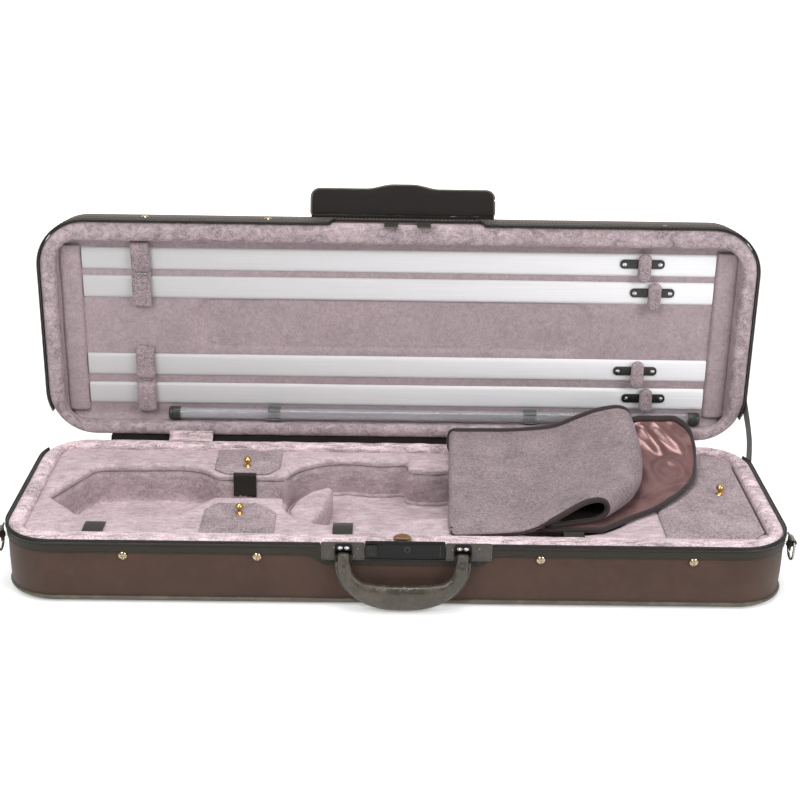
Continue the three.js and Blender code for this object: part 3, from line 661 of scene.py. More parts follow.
def tarnish_group():
    """Fine scratches and dull patches on metal and hard plastic."""
    build, _ = new_group("Tarnish", [], [("Dull", FLOAT), ("Height", FLOAT)])
    place = build.node("ShaderNodeTexCoord").outputs["Object"]
    patches = build.node("ShaderNodeTexNoise", {"Vector": place, "Scale": 220.0, "Detail": 5.0, "Roughness": 0.65})
    dull = build.node("ShaderNodeMapRange", {"Value": patches.outputs[0], "From Min": 0.35, "From Max": 0.75})
    build.node("NodeGroupOutput", {0: dull.outputs[0], 1: patches.outputs[0]})
    return build.tree


GROUPS = {"pile": pile_group, "weave": weave_group, "grain": grain_group, "tarnish": tarnish_group}


def shared_group(name):
    label = "Case " + name
    if label not in bpy.data.node_groups:
        GROUPS[name]().name = label
    return bpy.data.node_groups[label]


class Finish:
    """A material in the making: a Principled shader, shared groups and plain nodes."""

    def __init__(self, name, **sockets):
        self.material = bpy.data.materials.new(name)
        self.material.use_nodes = True
        self.build = Builder(self.material.node_tree)
        self.shader = self.material.node_tree.nodes["Principled BSDF"]
        for key, value in sockets.items():
            self.shader.inputs[key.replace("_", " ").title().replace("Ior", "IOR")].default_value = value

    def group(self, name, **inputs):
        made = self.build.node("ShaderNodeGroup", node_tree=shared_group(name))
        for key, value in inputs.items():
            made.inputs[key.title()].default_value = value
        return made.outputs

    def mix(self, share, dark, light):
        made = self.build.node("ShaderNodeMix", data_type="RGBA")
        for key, value in ((0, share), (6, dark), (7, light)):
            if isinstance(value, bpy.types.NodeSocket):
                self.build.tree.links.new(value, made.inputs[key])
            else:
                made.inputs[key].default_value = value if key == 0 else (*tuple(value)[:3], 1)
        return made.outputs[2]

    def range(self, value, low, high):
        return self.build.node("ShaderNodeMapRange", {"Value": value, "To Min": low, "To Max": high}).outputs[0]

    def paint(self, colour=None, roughness=None, height=None, bump=0.3, depth=0.0004):
        links = self.build.tree.links
        if colour is not None:
            links.new(colour, self.shader.inputs["Base Color"])
        if roughness is not None:
            links.new(roughness, self.shader.inputs["Roughness"])
        if height is not None:
            relief = self.build.node("ShaderNodeBump", {"Height": height, "Strength": bump, "Distance": depth})
            links.new(relief.outputs[0], self.shader.inputs["Normal"])
        return self.material


def times(colour, amount):
    return tuple(min(1.0, c * amount) for c in tuple(colour)[:3])


def plush_finish(name, colour, strokes=210.0, stretch=(0.45, 1, 1), contrast=1.0):
    finish = Finish(name, roughness=0.95, specular_ior_level=0.12, sheen_weight=0.35, sheen_roughness=0.4)
    finish.shader.inputs["Sheen Tint"].default_value = (*times(colour, 1.5), 1)
    pile = finish.group("pile", strokes=strokes, stretch=stretch)
    # The pile's lighter and darker strokes tint the plush: partly its crushed pattern, partly painted highlights.
    low = finish.mix(pile["Shade"], times(colour, 1 - 0.42 * contrast), times(colour, 1 + 0.42 * contrast))
    return finish.paint(low, height=pile["Height"], bump=0.75, depth=0.0011)


def woven_finish(name, colour, threads=5200.0, roughness=0.82, bump=0.35, **sockets):
    finish = Finish(name, roughness=roughness, specular_ior_level=0.3, sheen_weight=0.18, **sockets)
    weave = finish.group("weave", threads=threads)
    faded = finish.mix(weave["Fade"], times(colour, 0.82), times(colour, 1.16))
    return finish.paint(finish.mix(finish.range(weave["Height"], 0.0, 0.4), faded, times(colour, 0.5)),
                        height=weave["Height"], bump=bump, depth=0.0003)


def grained_finish(name, colour, pebbles=700.0, stretch=(1, 1, 1), roughness=(0.32, 0.55), bump=0.5):
    finish = Finish(name, specular_ior_level=0.5)
    grain = finish.group("grain", pebbles=pebbles, stretch=stretch)
    worn = finish.mix(grain["Wear"], times(colour, 0.8), times(colour, 1.5))
    return finish.paint(worn, finish.range(grain["Wear"], *roughness), grain["Height"], bump, 0.0005)


def metal_finish(name, colour, metallic=1.0, roughness=(0.16, 0.34), **sockets):
    finish = Finish(name, metallic=metallic, **sockets)
    tarnish = finish.group("tarnish")
    toned = finish.mix(tarnish["Dull"], colour, times(colour, 0.7))
    return finish.paint(toned, finish.range(tarnish["Dull"], *roughness), tarnish["Height"], 0.08, 0.0001)


def satin_finish(name, colour):
    """Satin: smooth threads with long, soft reflections."""
    finish = Finish(name, metallic=0.42, specular_ior_level=0.6, sheen_weight=0.3, sheen_roughness=0.3)
    weave = finish.group("weave", threads=9000.0)
    toned = finish.mix(weave["Fade"], times(colour, 0.75), times(colour, 1.25))
    return finish.paint(toned, finish.range(weave["Fade"], 0.16, 0.26), weave["Height"], 0.12, 0.0002)


def ribbon_finish(name, colour):
    """White satin ribbon with threads along its length, greyed towards its left end as painted shade."""
    finish = Finish(name, specular_ior_level=0.5, sheen_weight=0.2, sheen_roughness=0.3)
    place = finish.build.node("ShaderNodeTexCoord").outputs["Object"]
    drawn = finish.build.node("ShaderNodeVectorMath", {0: place, 1: (9.0, 700.0, 700.0)}, operation="MULTIPLY")
    threads = finish.build.node("ShaderNodeTexNoise", {"Vector": drawn.outputs[0], "Scale": 1.0, "Detail": 3.0})
    toned = finish.mix(threads.outputs[0], times(colour, 0.84), times(colour, 1.06))
    split = finish.build.node("ShaderNodeSeparateXYZ", {"Vector": place})
    # Towards the left end the ribbon is mixed with grey: painted shade.
    shade_towards_left = finish.build.node("ShaderNodeMapRange", {"Value": split.outputs[0], "From Min": -0.3, "From Max": 0.3})
    toned = finish.mix(shade_towards_left.outputs[0], finish.mix(0.58, toned, (0.3, 0.29, 0.29)), toned)
    return finish.paint(toned, finish.range(threads.outputs[0], 0.3, 0.5), threads.outputs[0], 0.25, 0.0002)


def clear_finish(name):
    """Clear plastic, a little hazed."""
    finish = Finish(name, roughness=0.12, transmission_weight=0.88, ior=1.46)
    tarnish = finish.group("tarnish")
    finish.shader.inputs["Base Color"].default_value = (0.93, 0.93, 0.96, 1)
    return finish.paint(roughness=finish.range(tarnish["Dull"], 0.08, 0.22), height=tarnish["Height"], bump=0.05)


def make_finishes(colours):
    plush = tuple(colours.plush)
    return {
        "cloth": woven_finish("Cover cloth", colours.cloth),
        "piping": grained_finish("Piping", srgb(86, 82, 70), 900.0, roughness=(0.4, 0.6)),
        "plush": plush_finish("Plush", plush, 230.0, (0.35, 0.9, 1), 0.8),
        # The base's roll: the plush lightened, with stronger strokes: painted highlight on the roll's lit top.
        "plush_roll_painted_highlight": plush_finish("Plush of the base's roll, painted highlight", times(plush, 1.16), 240.0, (0.22, 1, 1), 1.6),
        # The lid's roll: the plush darkened: painted shade.
        "plush_lid_roll_painted_shade": plush_finish("Plush of the lid's roll, painted shade", times(plush, 0.73), 200.0, (0.5, 1, 0.6), 1.2),
        # Upright walls of the hollow: the plush darkened: painted shade.
        "plush_walls_painted_shade": plush_finish("Plush of the upright walls, painted shade", times(plush, 0.84), 150.0, (0.8, 0.8, 1.4), 0.8),
        # Seam cords: the plush darkened to a third: painted shade in the seams.
        "plush_seam_painted_shade": plush_finish("Plush in the seams, painted shade", times(plush, 0.34), 150.0),
        "plush_cover": plush_finish("Plush of the covers", times(plush, 0.66), 420.0, (0.9, 0.9, 1), 1.3),
        # The lid's panel and end bands: the plush darkened: painted shade.
        "plush_panel_painted_shade": plush_finish("Plush of the lid", times(plush, 0.74), 260.0, (0.8, 1, 0.8), 0.5),
        "plush_quilt": plush_finish("Plush of the blanket", times(plush, 0.5), 420.0, (0.9, 0.9, 1), 1.1),
        "tape": woven_finish("Zipper tape", colours.tape, 2600.0, 0.7, 0.8),
        "webbing": woven_finish("Webbing", times(colours.tape, 0.62), 3400.0, 0.6, 0.8),
        "thread": woven_finish("Thread", times(colours.tape, 1.9), 9000.0),
        "leather_thread": woven_finish("Leather thread", times(colours.leather, 2.2), 9000.0),
        "shadow": metal_finish("Dark hollow", srgb(8, 8, 8), 0.0, (0.8, 0.9)),
        # Nearly black: partly the teeth's own dark colour, partly painted shadow of the roll on the zipper.
        "teeth": metal_finish("Zipper teeth and roll shadow", times(colours.tape, 0.3), 0.0, (0.3, 0.45)),
        "satin": satin_finish("Satin", colours.satin),
        # The satin darkened to a tenth: painted shade inside the blanket's curled end.
        "satin_painted_shade": satin_finish("Satin in the fold, painted shade", times(colours.satin, 0.1)),
        "binding": woven_finish("Binding", colours.binding, 3000.0, 0.6, 0.6),
        "ribbon": ribbon_finish("Ribbon", colours.ribbon),
        "leather": grained_finish("Handle leather", colours.leather, 420.0, (1, 1, 0.45), (0.22, 0.48), 1.0),
        "tab": grained_finish("Tab leather", colours.tab, 800.0),
        "vinyl": grained_finish("Facing vinyl", colours.vinyl, 1400.0, roughness=(0.35, 0.5), bump=0.35),
        "flap": woven_finish("Flap cloth", times(colours.cloth, 0.09), 4200.0),
        "screw": metal_finish("Screw plating", srgb(190, 172, 144), 1.0, (0.14, 0.3)),
        "enamel": metal_finish("Black enamel", srgb(14, 14, 12), 0.0, (0.3, 0.45), specular_ior_level=0.28),
        "plastic": metal_finish("Black plastic", srgb(40, 40, 38), 0.0, (0.25, 0.4)),
        "rubber": metal_finish("Rubber", srgb(52, 54, 50), 0.0, (0.35, 0.5)),
        "clip": metal_finish("Clip plastic", srgb(84, 88, 84), 0.0, (0.2, 0.35)),
        "steel": metal_finish("Plated steel", srgb(176, 174, 170)),
        "dark_steel": metal_finish("Dark steel", srgb(110, 104, 98), 0.8, (0.3, 0.5)),
        "chrome": metal_finish("Chrome", srgb(226, 226, 228), 1.0, (0.07, 0.2)),
        "brass": metal_finish("Polished brass", colours.brass, 1.0, (0.08, 0.2)),
        "clear": clear_finish("Clear plastic"),
    }


FINISHES = {}


def finish_of(name):
    if not FINISHES:
        FINISHES.update(make_finishes(bpy.context.scene.violin_case_colours))
    return FINISHES[name]


def repaint(node, name):
    """Gives a node of the frame one of the finishes."""
    mesh = frame["nodes"][node].data
    mesh.materials.clear()
    mesh.materials.append(finish_of(name))


# ---- cloth shells, piping and zipper tape ----
def shell_rows(profile, ripple_seed):
    rows = []
    for inset, z in profile:
        row = at_height(case_outline(SKIN + inset), z)
        rows.append(wavy(row, 0.5, 55.0, ripple_seed) if inset < 3 else row)
    return rows


def base_cover():
    top = SHELL_TOP
    profile = [(14, 0), (6, 0), (3.2, 0.6), (1.4, 2.0), (0.5, 4.6), (0.1, 9), (-0.4, 20), (-0.7, 34), (-0.5, 48)]
    profile += [(0, 56), (0.3, top), (6.8, top), (7.0, top - 1), (7.0, 7.2)]
    rows = shell_rows(profile, 1)
    for row, (_, height) in zip(rows, profile):
        row[:, 2] = height
    cover = mesh_piece("base_cover", *skin(rows), finish_of("cloth"))
    return seat(cover, "base", ["base_shell"])


def lid_cover():
    top, wall = LID_CROWN, LID_WALL
    profile = [(7.0, top - 6.2), (7.0, wall + 1), (6.8, wall), (0.3, wall), (0, wall + 4), (-0.3, wall + 12)]
    profile += [(0.1, top - 12), (0.9, top - 7), (2.8, top - 3.4), (6.0, top - 1.0), (11, top + 0.3)]
    profile += [(24, top + 1.6), (48, top + 2.4)]
    rows = shell_rows(profile, 2)
    cover = mesh_piece("lid_cover", opened(skin(rows)[0]), skin(rows)[1], finish_of("cloth"))
    return seat(cover, "lid", ["lid_shell"])


TAPE_LOW, TAPE_HIGH = node_box("base_zipper_tape")[0][2] + 10.5, node_box("base_zipper_tape")[1][2]
DIP_TOP = ([-100, -77, -73, 89, 93, 110], [0, 0, -14.4, -14.4, 0, 0])
DIP_LOW = ([-100, -89, -74, 84, 99, 110], [0, 0, -10.5, -10.5, 0, 0])


def tape_path():
    """Points round the front and both ends, from the back of the left end to the back of the right."""
    outline = rounded_rectangle(LEFT, RIGHT, FRONT, BACK, CORNER, 14, 260, 34)
    behind = np.nonzero(outline[:, 1] > 99.5)[0]
    outline = np.roll(outline, -behind[-1] - 1, axis=0)
    return outline[: len(outline) - len(behind)]


def outward(path):
    along = np.gradient(path, axis=0)
    return np.column_stack([along[:, 1], -along[:, 0]]) / np.linalg.norm(along, axis=1, keepdims=True)


def tape_heights(path):
    """The tape's lower and upper edge, with its dip below the lock."""
    in_front = path[:, 1] < FRONT + 0.5
    low = TAPE_LOW + np.where(in_front, np.interp(path[:, 0], *DIP_LOW), 0)
    high = TAPE_HIGH + np.where(in_front, np.interp(path[:, 0], *DIP_TOP), 0)
    return low, high


def zipper_tape(name, body, node, on_lid):
    path = tape_path()
    out = outward(path)
    low, high = tape_heights(path)

    def height(z):
        return 2 * HINGE_Z - z if on_lid else z

    def settle(points):
        return opened(points) if on_lid else points

    section = [(-1.1, 0.0), (0.1, 0.04), (0.35, 0.3), (0.2, 0.55), (0.5, 0.8), (0.2, 0.96), (-1.1, 1.0)]
    rows = [
        [[x + nx * step, y + ny * step, height(z0 + (z1 - z0) * share)] for step, share in section]
        for (x, y), (nx, ny), z0, z1 in zip(path, out, low, high)
    ]
    points, faces = skin(rows)
    tape = mesh_piece(name, settle(points), faces, finish_of("tape"))
    seat(tape, body, [node])

    def line(level, step):
        return np.column_stack([path + out * step, height(level)])

    scene_sizes = bpy.context.scene.violin_case_sizes
    for part, level, inset in (("lower", low + 1.5, 0.35), ("upper", high - 6.6, 0.5)):
        seam = settle(line(level, inset))
        sewn = stitches(f"{name}_{part}_stitches", seam, (0, -1, 0), finish_of("thread"),
                        scene_sizes.stitch / MM)
        seat(sewn, body)
    count = int(np.linalg.norm(np.diff(path, axis=0), axis=1).sum() / (scene_sizes.tooth / MM))
    edge = evenly(np.column_stack([path, out, high - 0.6]), count)
    places = np.column_stack([edge[:, :2] + edge[:, 2:4] * 0.45, [height(z) for z in edge[:, 4]]])
    upright = (0, -1, 0) if on_lid else (0, 0, 1)
    teeth = repeat(f"{name}_teeth", stitch_shape(3.0, 1.3), settle(places), (1, 0, 0), upright,
                   finish_of("teeth"))
    seat(teeth, body)
    # A dark cord along the tape's upper edge: painted shadow of the roll on the zipper.
    roll_shadow_cord = cord(f"{name}_coil", line(high - 3.4, 0.2), 1.2, finish_of("teeth"))
    if on_lid:
        set_coordinates(roll_shadow_cord.data, opened(coordinates(roll_shadow_cord.data) / MM) * MM)
    seat(roll_shadow_cord, body)


def zipper_tapes():
    edge = case_outline(SKIN - 0.7)
    behind = edge[edge[:, 1] > 92]
    welt = cord("lid_rear_edge", at_height(behind, LID_WALL - 0.4), 1.2, finish_of("teeth"))
    set_coordinates(welt.data, opened(coordinates(welt.data) / MM) * MM)
    seat(welt, "lid")
    zipper_tape("base_tape", "base", "base_zipper_tape", False)
    zipper_tape("lid_tape", "lid", "lid_zipper_tape", True)


def case_piping():
    radius = bpy.context.scene.violin_case_sizes.piping / MM
    foot = at_height(case_outline(SKIN + 0.1), 5.4)
    seat(cord("base_piping", foot, radius, finish_of("piping"), True), "base")
    crown = at_height(case_outline(SKIN + 3.4), LID_CROWN - 3.2)
    points, faces = skin(list(sweep(crown, circle(radius, 10), closed=True)), True)
    seat(mesh_piece("lid_piping", opened(points), faces, finish_of("piping")), "lid")


# ---- plush padding ----
def gathers(outline):
    """How much the cloth puckers at each point of an outline: only where it turns a corner."""
    along = np.roll(outline, -1, 0) - outline
    heading = np.unwrap(np.arctan2(along[:, 1], along[:, 0]))
    bend = np.abs(np.gradient(heading))
    return np.sin(np.cumsum(bend) * 15.0) * np.clip(bend / 0.05, 0, 1)


def rim_roll(name, body, node, bottom, top, seed, on_lid):
    """The padded roll between the outer wall and the opening; its crown is at top."""
    outer, inner = case_outline(SKIN + 0.2), roll_opening(rounder=9.0 if on_lid else 0.0)
    pucker = gathers(inner)
    rows = []
    for turn in np.linspace(math.pi * 1.06, -math.pi * 0.06, 22):
        share = 0.5 + 0.5 * math.copysign(abs(math.cos(turn)) ** 0.8, math.cos(turn))
        rise = math.sin(turn) ** 0.8 if math.sin(turn) > 0 else math.sin(turn)
        height = bottom + (top - bottom) * (0.35 + 0.65 * rise)
        row = at_height(outer + (inner - outer) * share, height)
        row[:, 2] += math.copysign(1, top - bottom) * pucker * 0.9 * share * max(rise, 0)
        rows.append(wavy(row, 0.75 * max(rise, 0.1), 13.0, seed) if share > 0.06 else row)
    rows += [at_height(inner, bottom), at_height(outer, bottom)]
    points, faces = skin(rows, True)
    points = opened(points) if on_lid else points
    # The base's roll gets lightened plush (painted highlight), the lid's roll darkened plush (painted shade).
    roll = mesh_piece(name, points, faces, finish_of("plush_lid_roll_painted_shade" if on_lid else "plush_roll_painted_highlight"), 180)
    return seat(roll, body, [node])


def rim_rolls():
    rim_roll("base_roll", "base", "base_rim_roll", ROLL_LOW, ROLL_TOP, 6, False)
    rim_roll("lid_roll", "lid", "lid_rim_roll", 2 * HINGE_Z - ROLL_LOW + 1, 2 * HINGE_Z - ROLL_TOP, 7, True)


def section_loops(node, height, normal=(0, 0, 1)):
    """The outlines of a node where a level plane cuts it, the longest first, in millimetres."""
    mesh = merged_copy("section", node)
    work = bmesh.new()
    work.from_mesh(mesh)
    bpy.data.meshes.remove(mesh)
    place = Vector(normal) * height * MM
    cut = bmesh.ops.bisect_plane(
        work, geom=[*work.verts, *work.edges, *work.faces], plane_co=place, plane_no=normal
    )["geom_cut"]
    edges = {e for e in cut if isinstance(e, bmesh.types.BMEdge)}
    loops = []
    while edges:
        edge = edges.pop()
        start, at = edge.verts
        loop = [start, at]
        while at is not start:
            edge = next((e for e in at.link_edges if e in edges), None)
            if edge is None:
                break
            edges.remove(edge)
            at = edge.other_vert(at)
            loop.append(at)
        loops.append(np.array([v.co for v in loop[:-1]]) / MM)
    work.free()
    return sorted(loops, key=lambda loop: -np.ptp(loop[:, 0]) - np.ptp(loop[:, 1]))


def paint_shade_on_walls(mesh, low, high, finish):
    """Gives the upright faces between two heights a finish of their own, used for painted shade on the walls of the
    hollow.
    """
    mesh.materials.append(finish_of(finish))
    for face in mesh.polygons:
        if abs(face.normal.z) < 0.6 and low * MM < face.center.z < high * MM:
            face.material_index = 1


def crown_between(mesh, seams, rise, reach, faces_up):
    """Raises the surface that faces up, more the further it is from a seam."""
    points = np.concatenate(seams)
    tree = KDTree(len(points))
    for i, p in enumerate(points):
        tree.insert(Vector(p * MM), i)
    tree.balance()
    places, out = coordinates(mesh), normals(mesh)
    for i in np.nonzero(faces_up(places, out))[0]:
        distance = tree.find(Vector(places[i]))[2] / MM
        places[i] += out[i] * rise * MM * (1 - math.exp(-distance / reach))
    set_coordinates(mesh, places)


def base_lining():
    floor = 19.0
    lining = padding("base_lining_padding", "base_lining", finish_of("plush"), 2.9, 5)
    hollow_rim = section_loops("base_lining", DECK - 7)[1]
    hollow_foot = section_loops("base_lining", floor + 3.0)[1]
    deck_edge = section_loops("base_lining", DECK - 0.5)
    seams = [evenly(np.vstack([loop, loop[:1]]), int(len(loop) * 4 + 200)) for loop in (hollow_rim, hollow_foot)]
    edges = [evenly(np.vstack([loop, loop[:1]]), 400) for loop in deck_edge]

    def top_of_deck(places, out):
        return (out[:, 2] > 0.8) & (places[:, 2] > (DECK - 3.5) * MM)

    def sunken(places, out):
        return (places[:, 2] < (DECK - 9) * MM) & (places[:, 2] > (floor - 3) * MM)

    crown_between(lining.data, edges, 0.9, 9.0, top_of_deck)
    crown_between(lining.data, seams, 1.3, 7.0, sunken)
    laid = press_seams(lining, seams, 1.5, 2.0)
    set_coordinates(lining.data, wavy(coordinates(lining.data) / MM, 0.55, 17.0, 3) * MM)
    # Upright faces of the hollow get the darkened plush: painted shade on the walls.
    paint_shade_on_walls(lining.data, floor + 2, DECK - 6.5, "plush_walls_painted_shade")
    seat(lining, "base", ["base_lining"])
    welt = bpy.context.scene.violin_case_sizes.welt / MM
    # The rim seam's cord is plush darkened to a third (painted shade in the seam); the foot welt takes the walls'
    # painted shade.
    for name, path, radius, finish in (("rim_seam", laid[0], 0.45, "plush_seam_painted_shade"), ("foot_welt", laid[1], welt, "plush_walls_painted_shade")):
        path = evenly(np.vstack([path, path[:1]]), 520, True)
        for _ in range(2):
            path = 0.5 * path + 0.25 * (np.roll(path, 1, 0) + np.roll(path, -1, 0))
        seat(cord(f"cavity_{name}", path, radius, finish_of(finish), True, sides=8), "base")


def suspension_pad():
    pad = padding("neck_end_cushion", "suspension_pad", finish_of("plush"), 2.2, 4, 6.0, 3.0,
                  lambda p: p[:, 2] < 0.022)
    seat(pad, "base", ["suspension_pad"])


KNOB = [(0, 0), (4.6, 0), (4.8, 0.5), (4.4, 1.1), (2.9, 1.7), (2.1, 2.6), (1.8, 4.0), (2.2, 4.9), (3.3, 5.6)]
KNOB += [(4.2, 6.6), (4.55, 7.8), (4.4, 9.1), (3.7, 10.4), (2.5, 11.5), (1.2, 12.1), (0, 12.3)]


def accessory_cover(place):
    """A padded cover with its brass knob; both ride on the cover's own body."""
    node = f"accessory_lid_{place}"
    swell = bpy.context.scene.violin_case_sizes.swell / MM
    low, high = node_box(node)
    cover = padding(f"{node}_padded", node, finish_of("plush_cover"), 1.5, 2, 5.0, 0.55 * swell,
                    lambda p: p[:, 2] < (low[2] + 1.0) * MM)
    set_coordinates(cover.data, wavy(coordinates(cover.data) / MM, 0.35, 16.0, 5, (0, 0, 1)) * MM)
    seat(cover, node, [node])
    knob_low, knob_high = node_box(f"knob_{place}")
    points, faces = lathe(KNOB, 40)
    middle = (knob_low + knob_high) / 2
    turned = mesh_piece(f"brass_knob_{place}", points + [middle[0], middle[1], knob_low[2]], faces,
                        finish_of("brass"), 60)
    seat(turned, node, [f"knob_{place}"])


def accessory_covers():
    for place in ("rear", "front", "right"):
        accessory_cover(place)


def webbing(name, path, width, thickness, replaces=(), finish="webbing", pinked=0, up=(1, 0, 0)):
    """A flat strap along a path; a pinked end has that many points."""
    half = thickness / 2
    across = np.linspace(-width / 2, width / 2, 31)
    ring = np.concatenate([np.column_stack([np.full(31, half), across]),
                           np.column_stack([np.full(31, -half), across[::-1]])])
    rows = sweep(path, ring, up)
    if pinked:
        step = path[-1] - path[-2]
        step = step / np.linalg.norm(step)
        teeth = np.abs(((np.abs(ring[:, 1]) / width * 2 * pinked) % 2) - 1)
        rows[-1] = rows[-1] - np.outer(teeth * 3.4, step)
        rows[-2] = rows[-2] - np.outer(teeth * 2.2, step)
    strap = mesh_piece(name, *skin(list(rows)), finish_of(finish), 60)
    return seat(strap, "base", list(replaces))


def neck_strap():
    low, high = node_box("neck_strap")
    x, back, face = (low[0] + high[0]) / 2, high[1], low[1]
    path = smooth_path([(x, back, high[2] - 0.9), (x, back - 2.0, high[2] - 0.8), (x, face + 0.6, high[2] - 2.6),
                        (x, face + 0.5, high[2] - 7), (x, face + 0.2, low[2] + 9), (x, face - 0.6, low[2])], 26)
    webbing("neck_webbing", path, high[0] - low[0], 1.7, replaces=["neck_strap"], pinked=5)
    for k, shift in enumerate((-7.5, 7.5)):
        seam = path[4:-4] + np.array([shift, -1.0, 0.1])
        sewn = stitches(f"neck_webbing_stitches_{k + 1}", seam, (0, -1, 0), finish_of("thread"), 2.6, 0.6)
        seat(sewn, "base")


def front_straps():
    """Three short straps that come from under the front roll."""
    places = {"left": (-308.5, -81.0), "middle": (-55.5, -66.0), "right": (180.0, -84.0)}
    for place, (x, reach) in places.items():
        edge = FRONT + ROLL_FRONT
        lift = DECK + 2.6
        droop = 9.0 if place == "middle" else 0.0
        path = smooth_path([(x, edge - 5, lift - 1), (x, edge + 3, lift), (x, (edge + reach) / 2, lift + 0.3),
                            (x, reach - 4, lift - 0.5 * droop), (x, reach, lift - 0.6 - droop)], 18)
        webbing(f"front_strap_{place}", path, 20.5, 1.6)


def hinge_patches():
    """Plush that covers each hinge from the inside."""
    for name in ("left", "right"):
        low, high = node_box(f"hinge_leaf_base_{name}")
        x = (low[0] + high[0]) / 2
        path = smooth_path([(x, BACK - 10, ROLL_TOP + 0.5), (x, BACK - 4, ROLL_TOP + 1.1), (x, BACK - 1.2, HINGE_Z + 1.2),
                            (x, BACK - 0.8, HINGE_Z + 4), (x, BACK - 0.3, HINGE_Z + 9)], 20)
        ring = soft_bar(high[0] - low[0] + 4, 1.3, 0.2)[:, ::-1] * [-1, 1]
        rows = sweep(path, ring, (1, 0, 0))
        # The patches take the base roll's lightened plush: painted highlight.
        patch = mesh_piece(f"hinge_patch_{name}", *skin(list(rows)), finish_of("plush_roll_painted_highlight"), 180)
        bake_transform(patch)


# ---- the lid's inside ----
def lid_lining():
    # The lid's panel takes the darkened plush: painted shade.
    lining = padding("lid_lining_padding", "lid_lining", finish_of("plush_panel_painted_shade"), 2.9, 3)
    tongue = [loop for loop in section_loops("lid_lining", HINGE_Y + PANEL + 1 - HINGE_Z, (0, 1, 0))]
    tongue = min(tongue, key=lambda loop: np.ptp(loop[:, 0]))
    seam = evenly(np.vstack([tongue, tongue[:1]]), 500)
    seam[:, 1] = HINGE_Y + PANEL - HINGE_Z
    press_seams(lining, [seam], 1.5, 2.2)
    places = coordinates(lining.data) / MM
    set_coordinates(lining.data, wavy(places, 0.45, 26.0, 4, (0, 1, 0)) * MM)
    seat(lining, "lid", ["lid_lining"])


def bar_along(name, path, section, material, lid=True, sharp=60, up=(0, 0, -1)):
    """A soft bar along a path drawn on the closed lid; its top faces down, into the case."""
    points, faces = skin(list(sweep(path, section, up)))
    return mesh_piece(name, opened(points) if lid else points, faces, material, sharp)


def closed_box(node):
    """A lid node's box as it lies when the lid is closed."""
    low, high = node_box(node)
    return (
        np.array([low[0], HINGE_Y - (high[2] - HINGE_Z), HINGE_Z + low[1] - HINGE_Y]),
        np.array([high[0], HINGE_Y - (low[2] - HINGE_Z), HINGE_Z + high[1] - HINGE_Y]),
    )


def bow_guards():
    for k in range(1, 5):
        low, high = closed_box(f"bow_guard_{k}")
        y, width, thick = (low[1] + high[1]) / 2, high[1] - low[1], high[2] - low[2]
        xs = np.linspace(low[0], high[0], 150)
        path = np.column_stack([xs, np.full(150, y), np.full(150, high[2])])
        path = wavy(path, 0.35, 90.0, 10 + k, (0, 1, 0))
        guard = bar_along(f"bow_guard_ribbon_{k}", path, soft_bar(width, thick - 0.5, 0.7), finish_of("ribbon"), sharp=70)
        seat(guard, "lid", [f"bow_guard_{k}"])


def end_bands():
    for name in ("left", "right"):
        low, high = closed_box(f"end_band_{name}")
        x, width = (low[0] + high[0]) / 2, high[0] - low[0]
        ys = np.linspace(low[1], high[1], 90)
        path = np.column_stack([np.full(90, x), ys, np.full(90, high[2])])
        path = wavy(path, 0.5, 30.0, 20, (1, 0, 0.6))
        # The end bands take the lid's darkened plush: painted shade.
        band = bar_along(f"end_band_{name}_plush", path, soft_bar(width, 3.6, 0.9), finish_of("plush_panel_painted_shade"), sharp=180)
        seat(band, "lid", [f"end_band_{name}"])


def tip_straps():
    for name in ("upper", "lower"):
        low, high = closed_box(f"tip_strap_{name}")
        x, y = (low[0] + high[0]) / 2, (low[1] + high[1]) / 2
        reach, top, deep = (high[1] - low[1]) / 2, high[2], low[2]
        half = [(reach, top - 1.5), (reach - 3, deep + 2.6), (reach - 6, deep + 1.3), (reach / 2, deep + 0.7),
                (6.5, deep + 1.6), (2.6, top - 3.8), (0, top - 2.0)]
        knots = [(x, y - s, z) for s, z in half] + [(x, y + s, z) for s, z in half[-2::-1]]
        path = wavy(smooth_path(knots, 90), 0.35, 14.0, 30, (1, 0, 0))
        strap = bar_along(f"tip_strap_{name}_plush", path, soft_bar(high[0] - low[0], 1.9, 0.5) - [0, 1.0],
                          finish_of("plush_cover"), sharp=180)
        seat(strap, "lid", [f"tip_strap_{name}"])
        rivet_z = top - 4.6
        rivets = repeat(f"tip_strap_{name}_rivets", dome_shape("rivet", 1.5, 0.8, 0.7),
                        opened([(x - 2.6, y, rivet_z), (x + 2.6, y, rivet_z)]), (0, -1, 0), (1, 0, 0),
                        finish_of("steel"))
        seat(rivets, "lid")


def rounded_plate(low, high, radius):
    return rounded_rectangle(low[0], high[0], low[1], high[1], radius, 8, 2, 2)


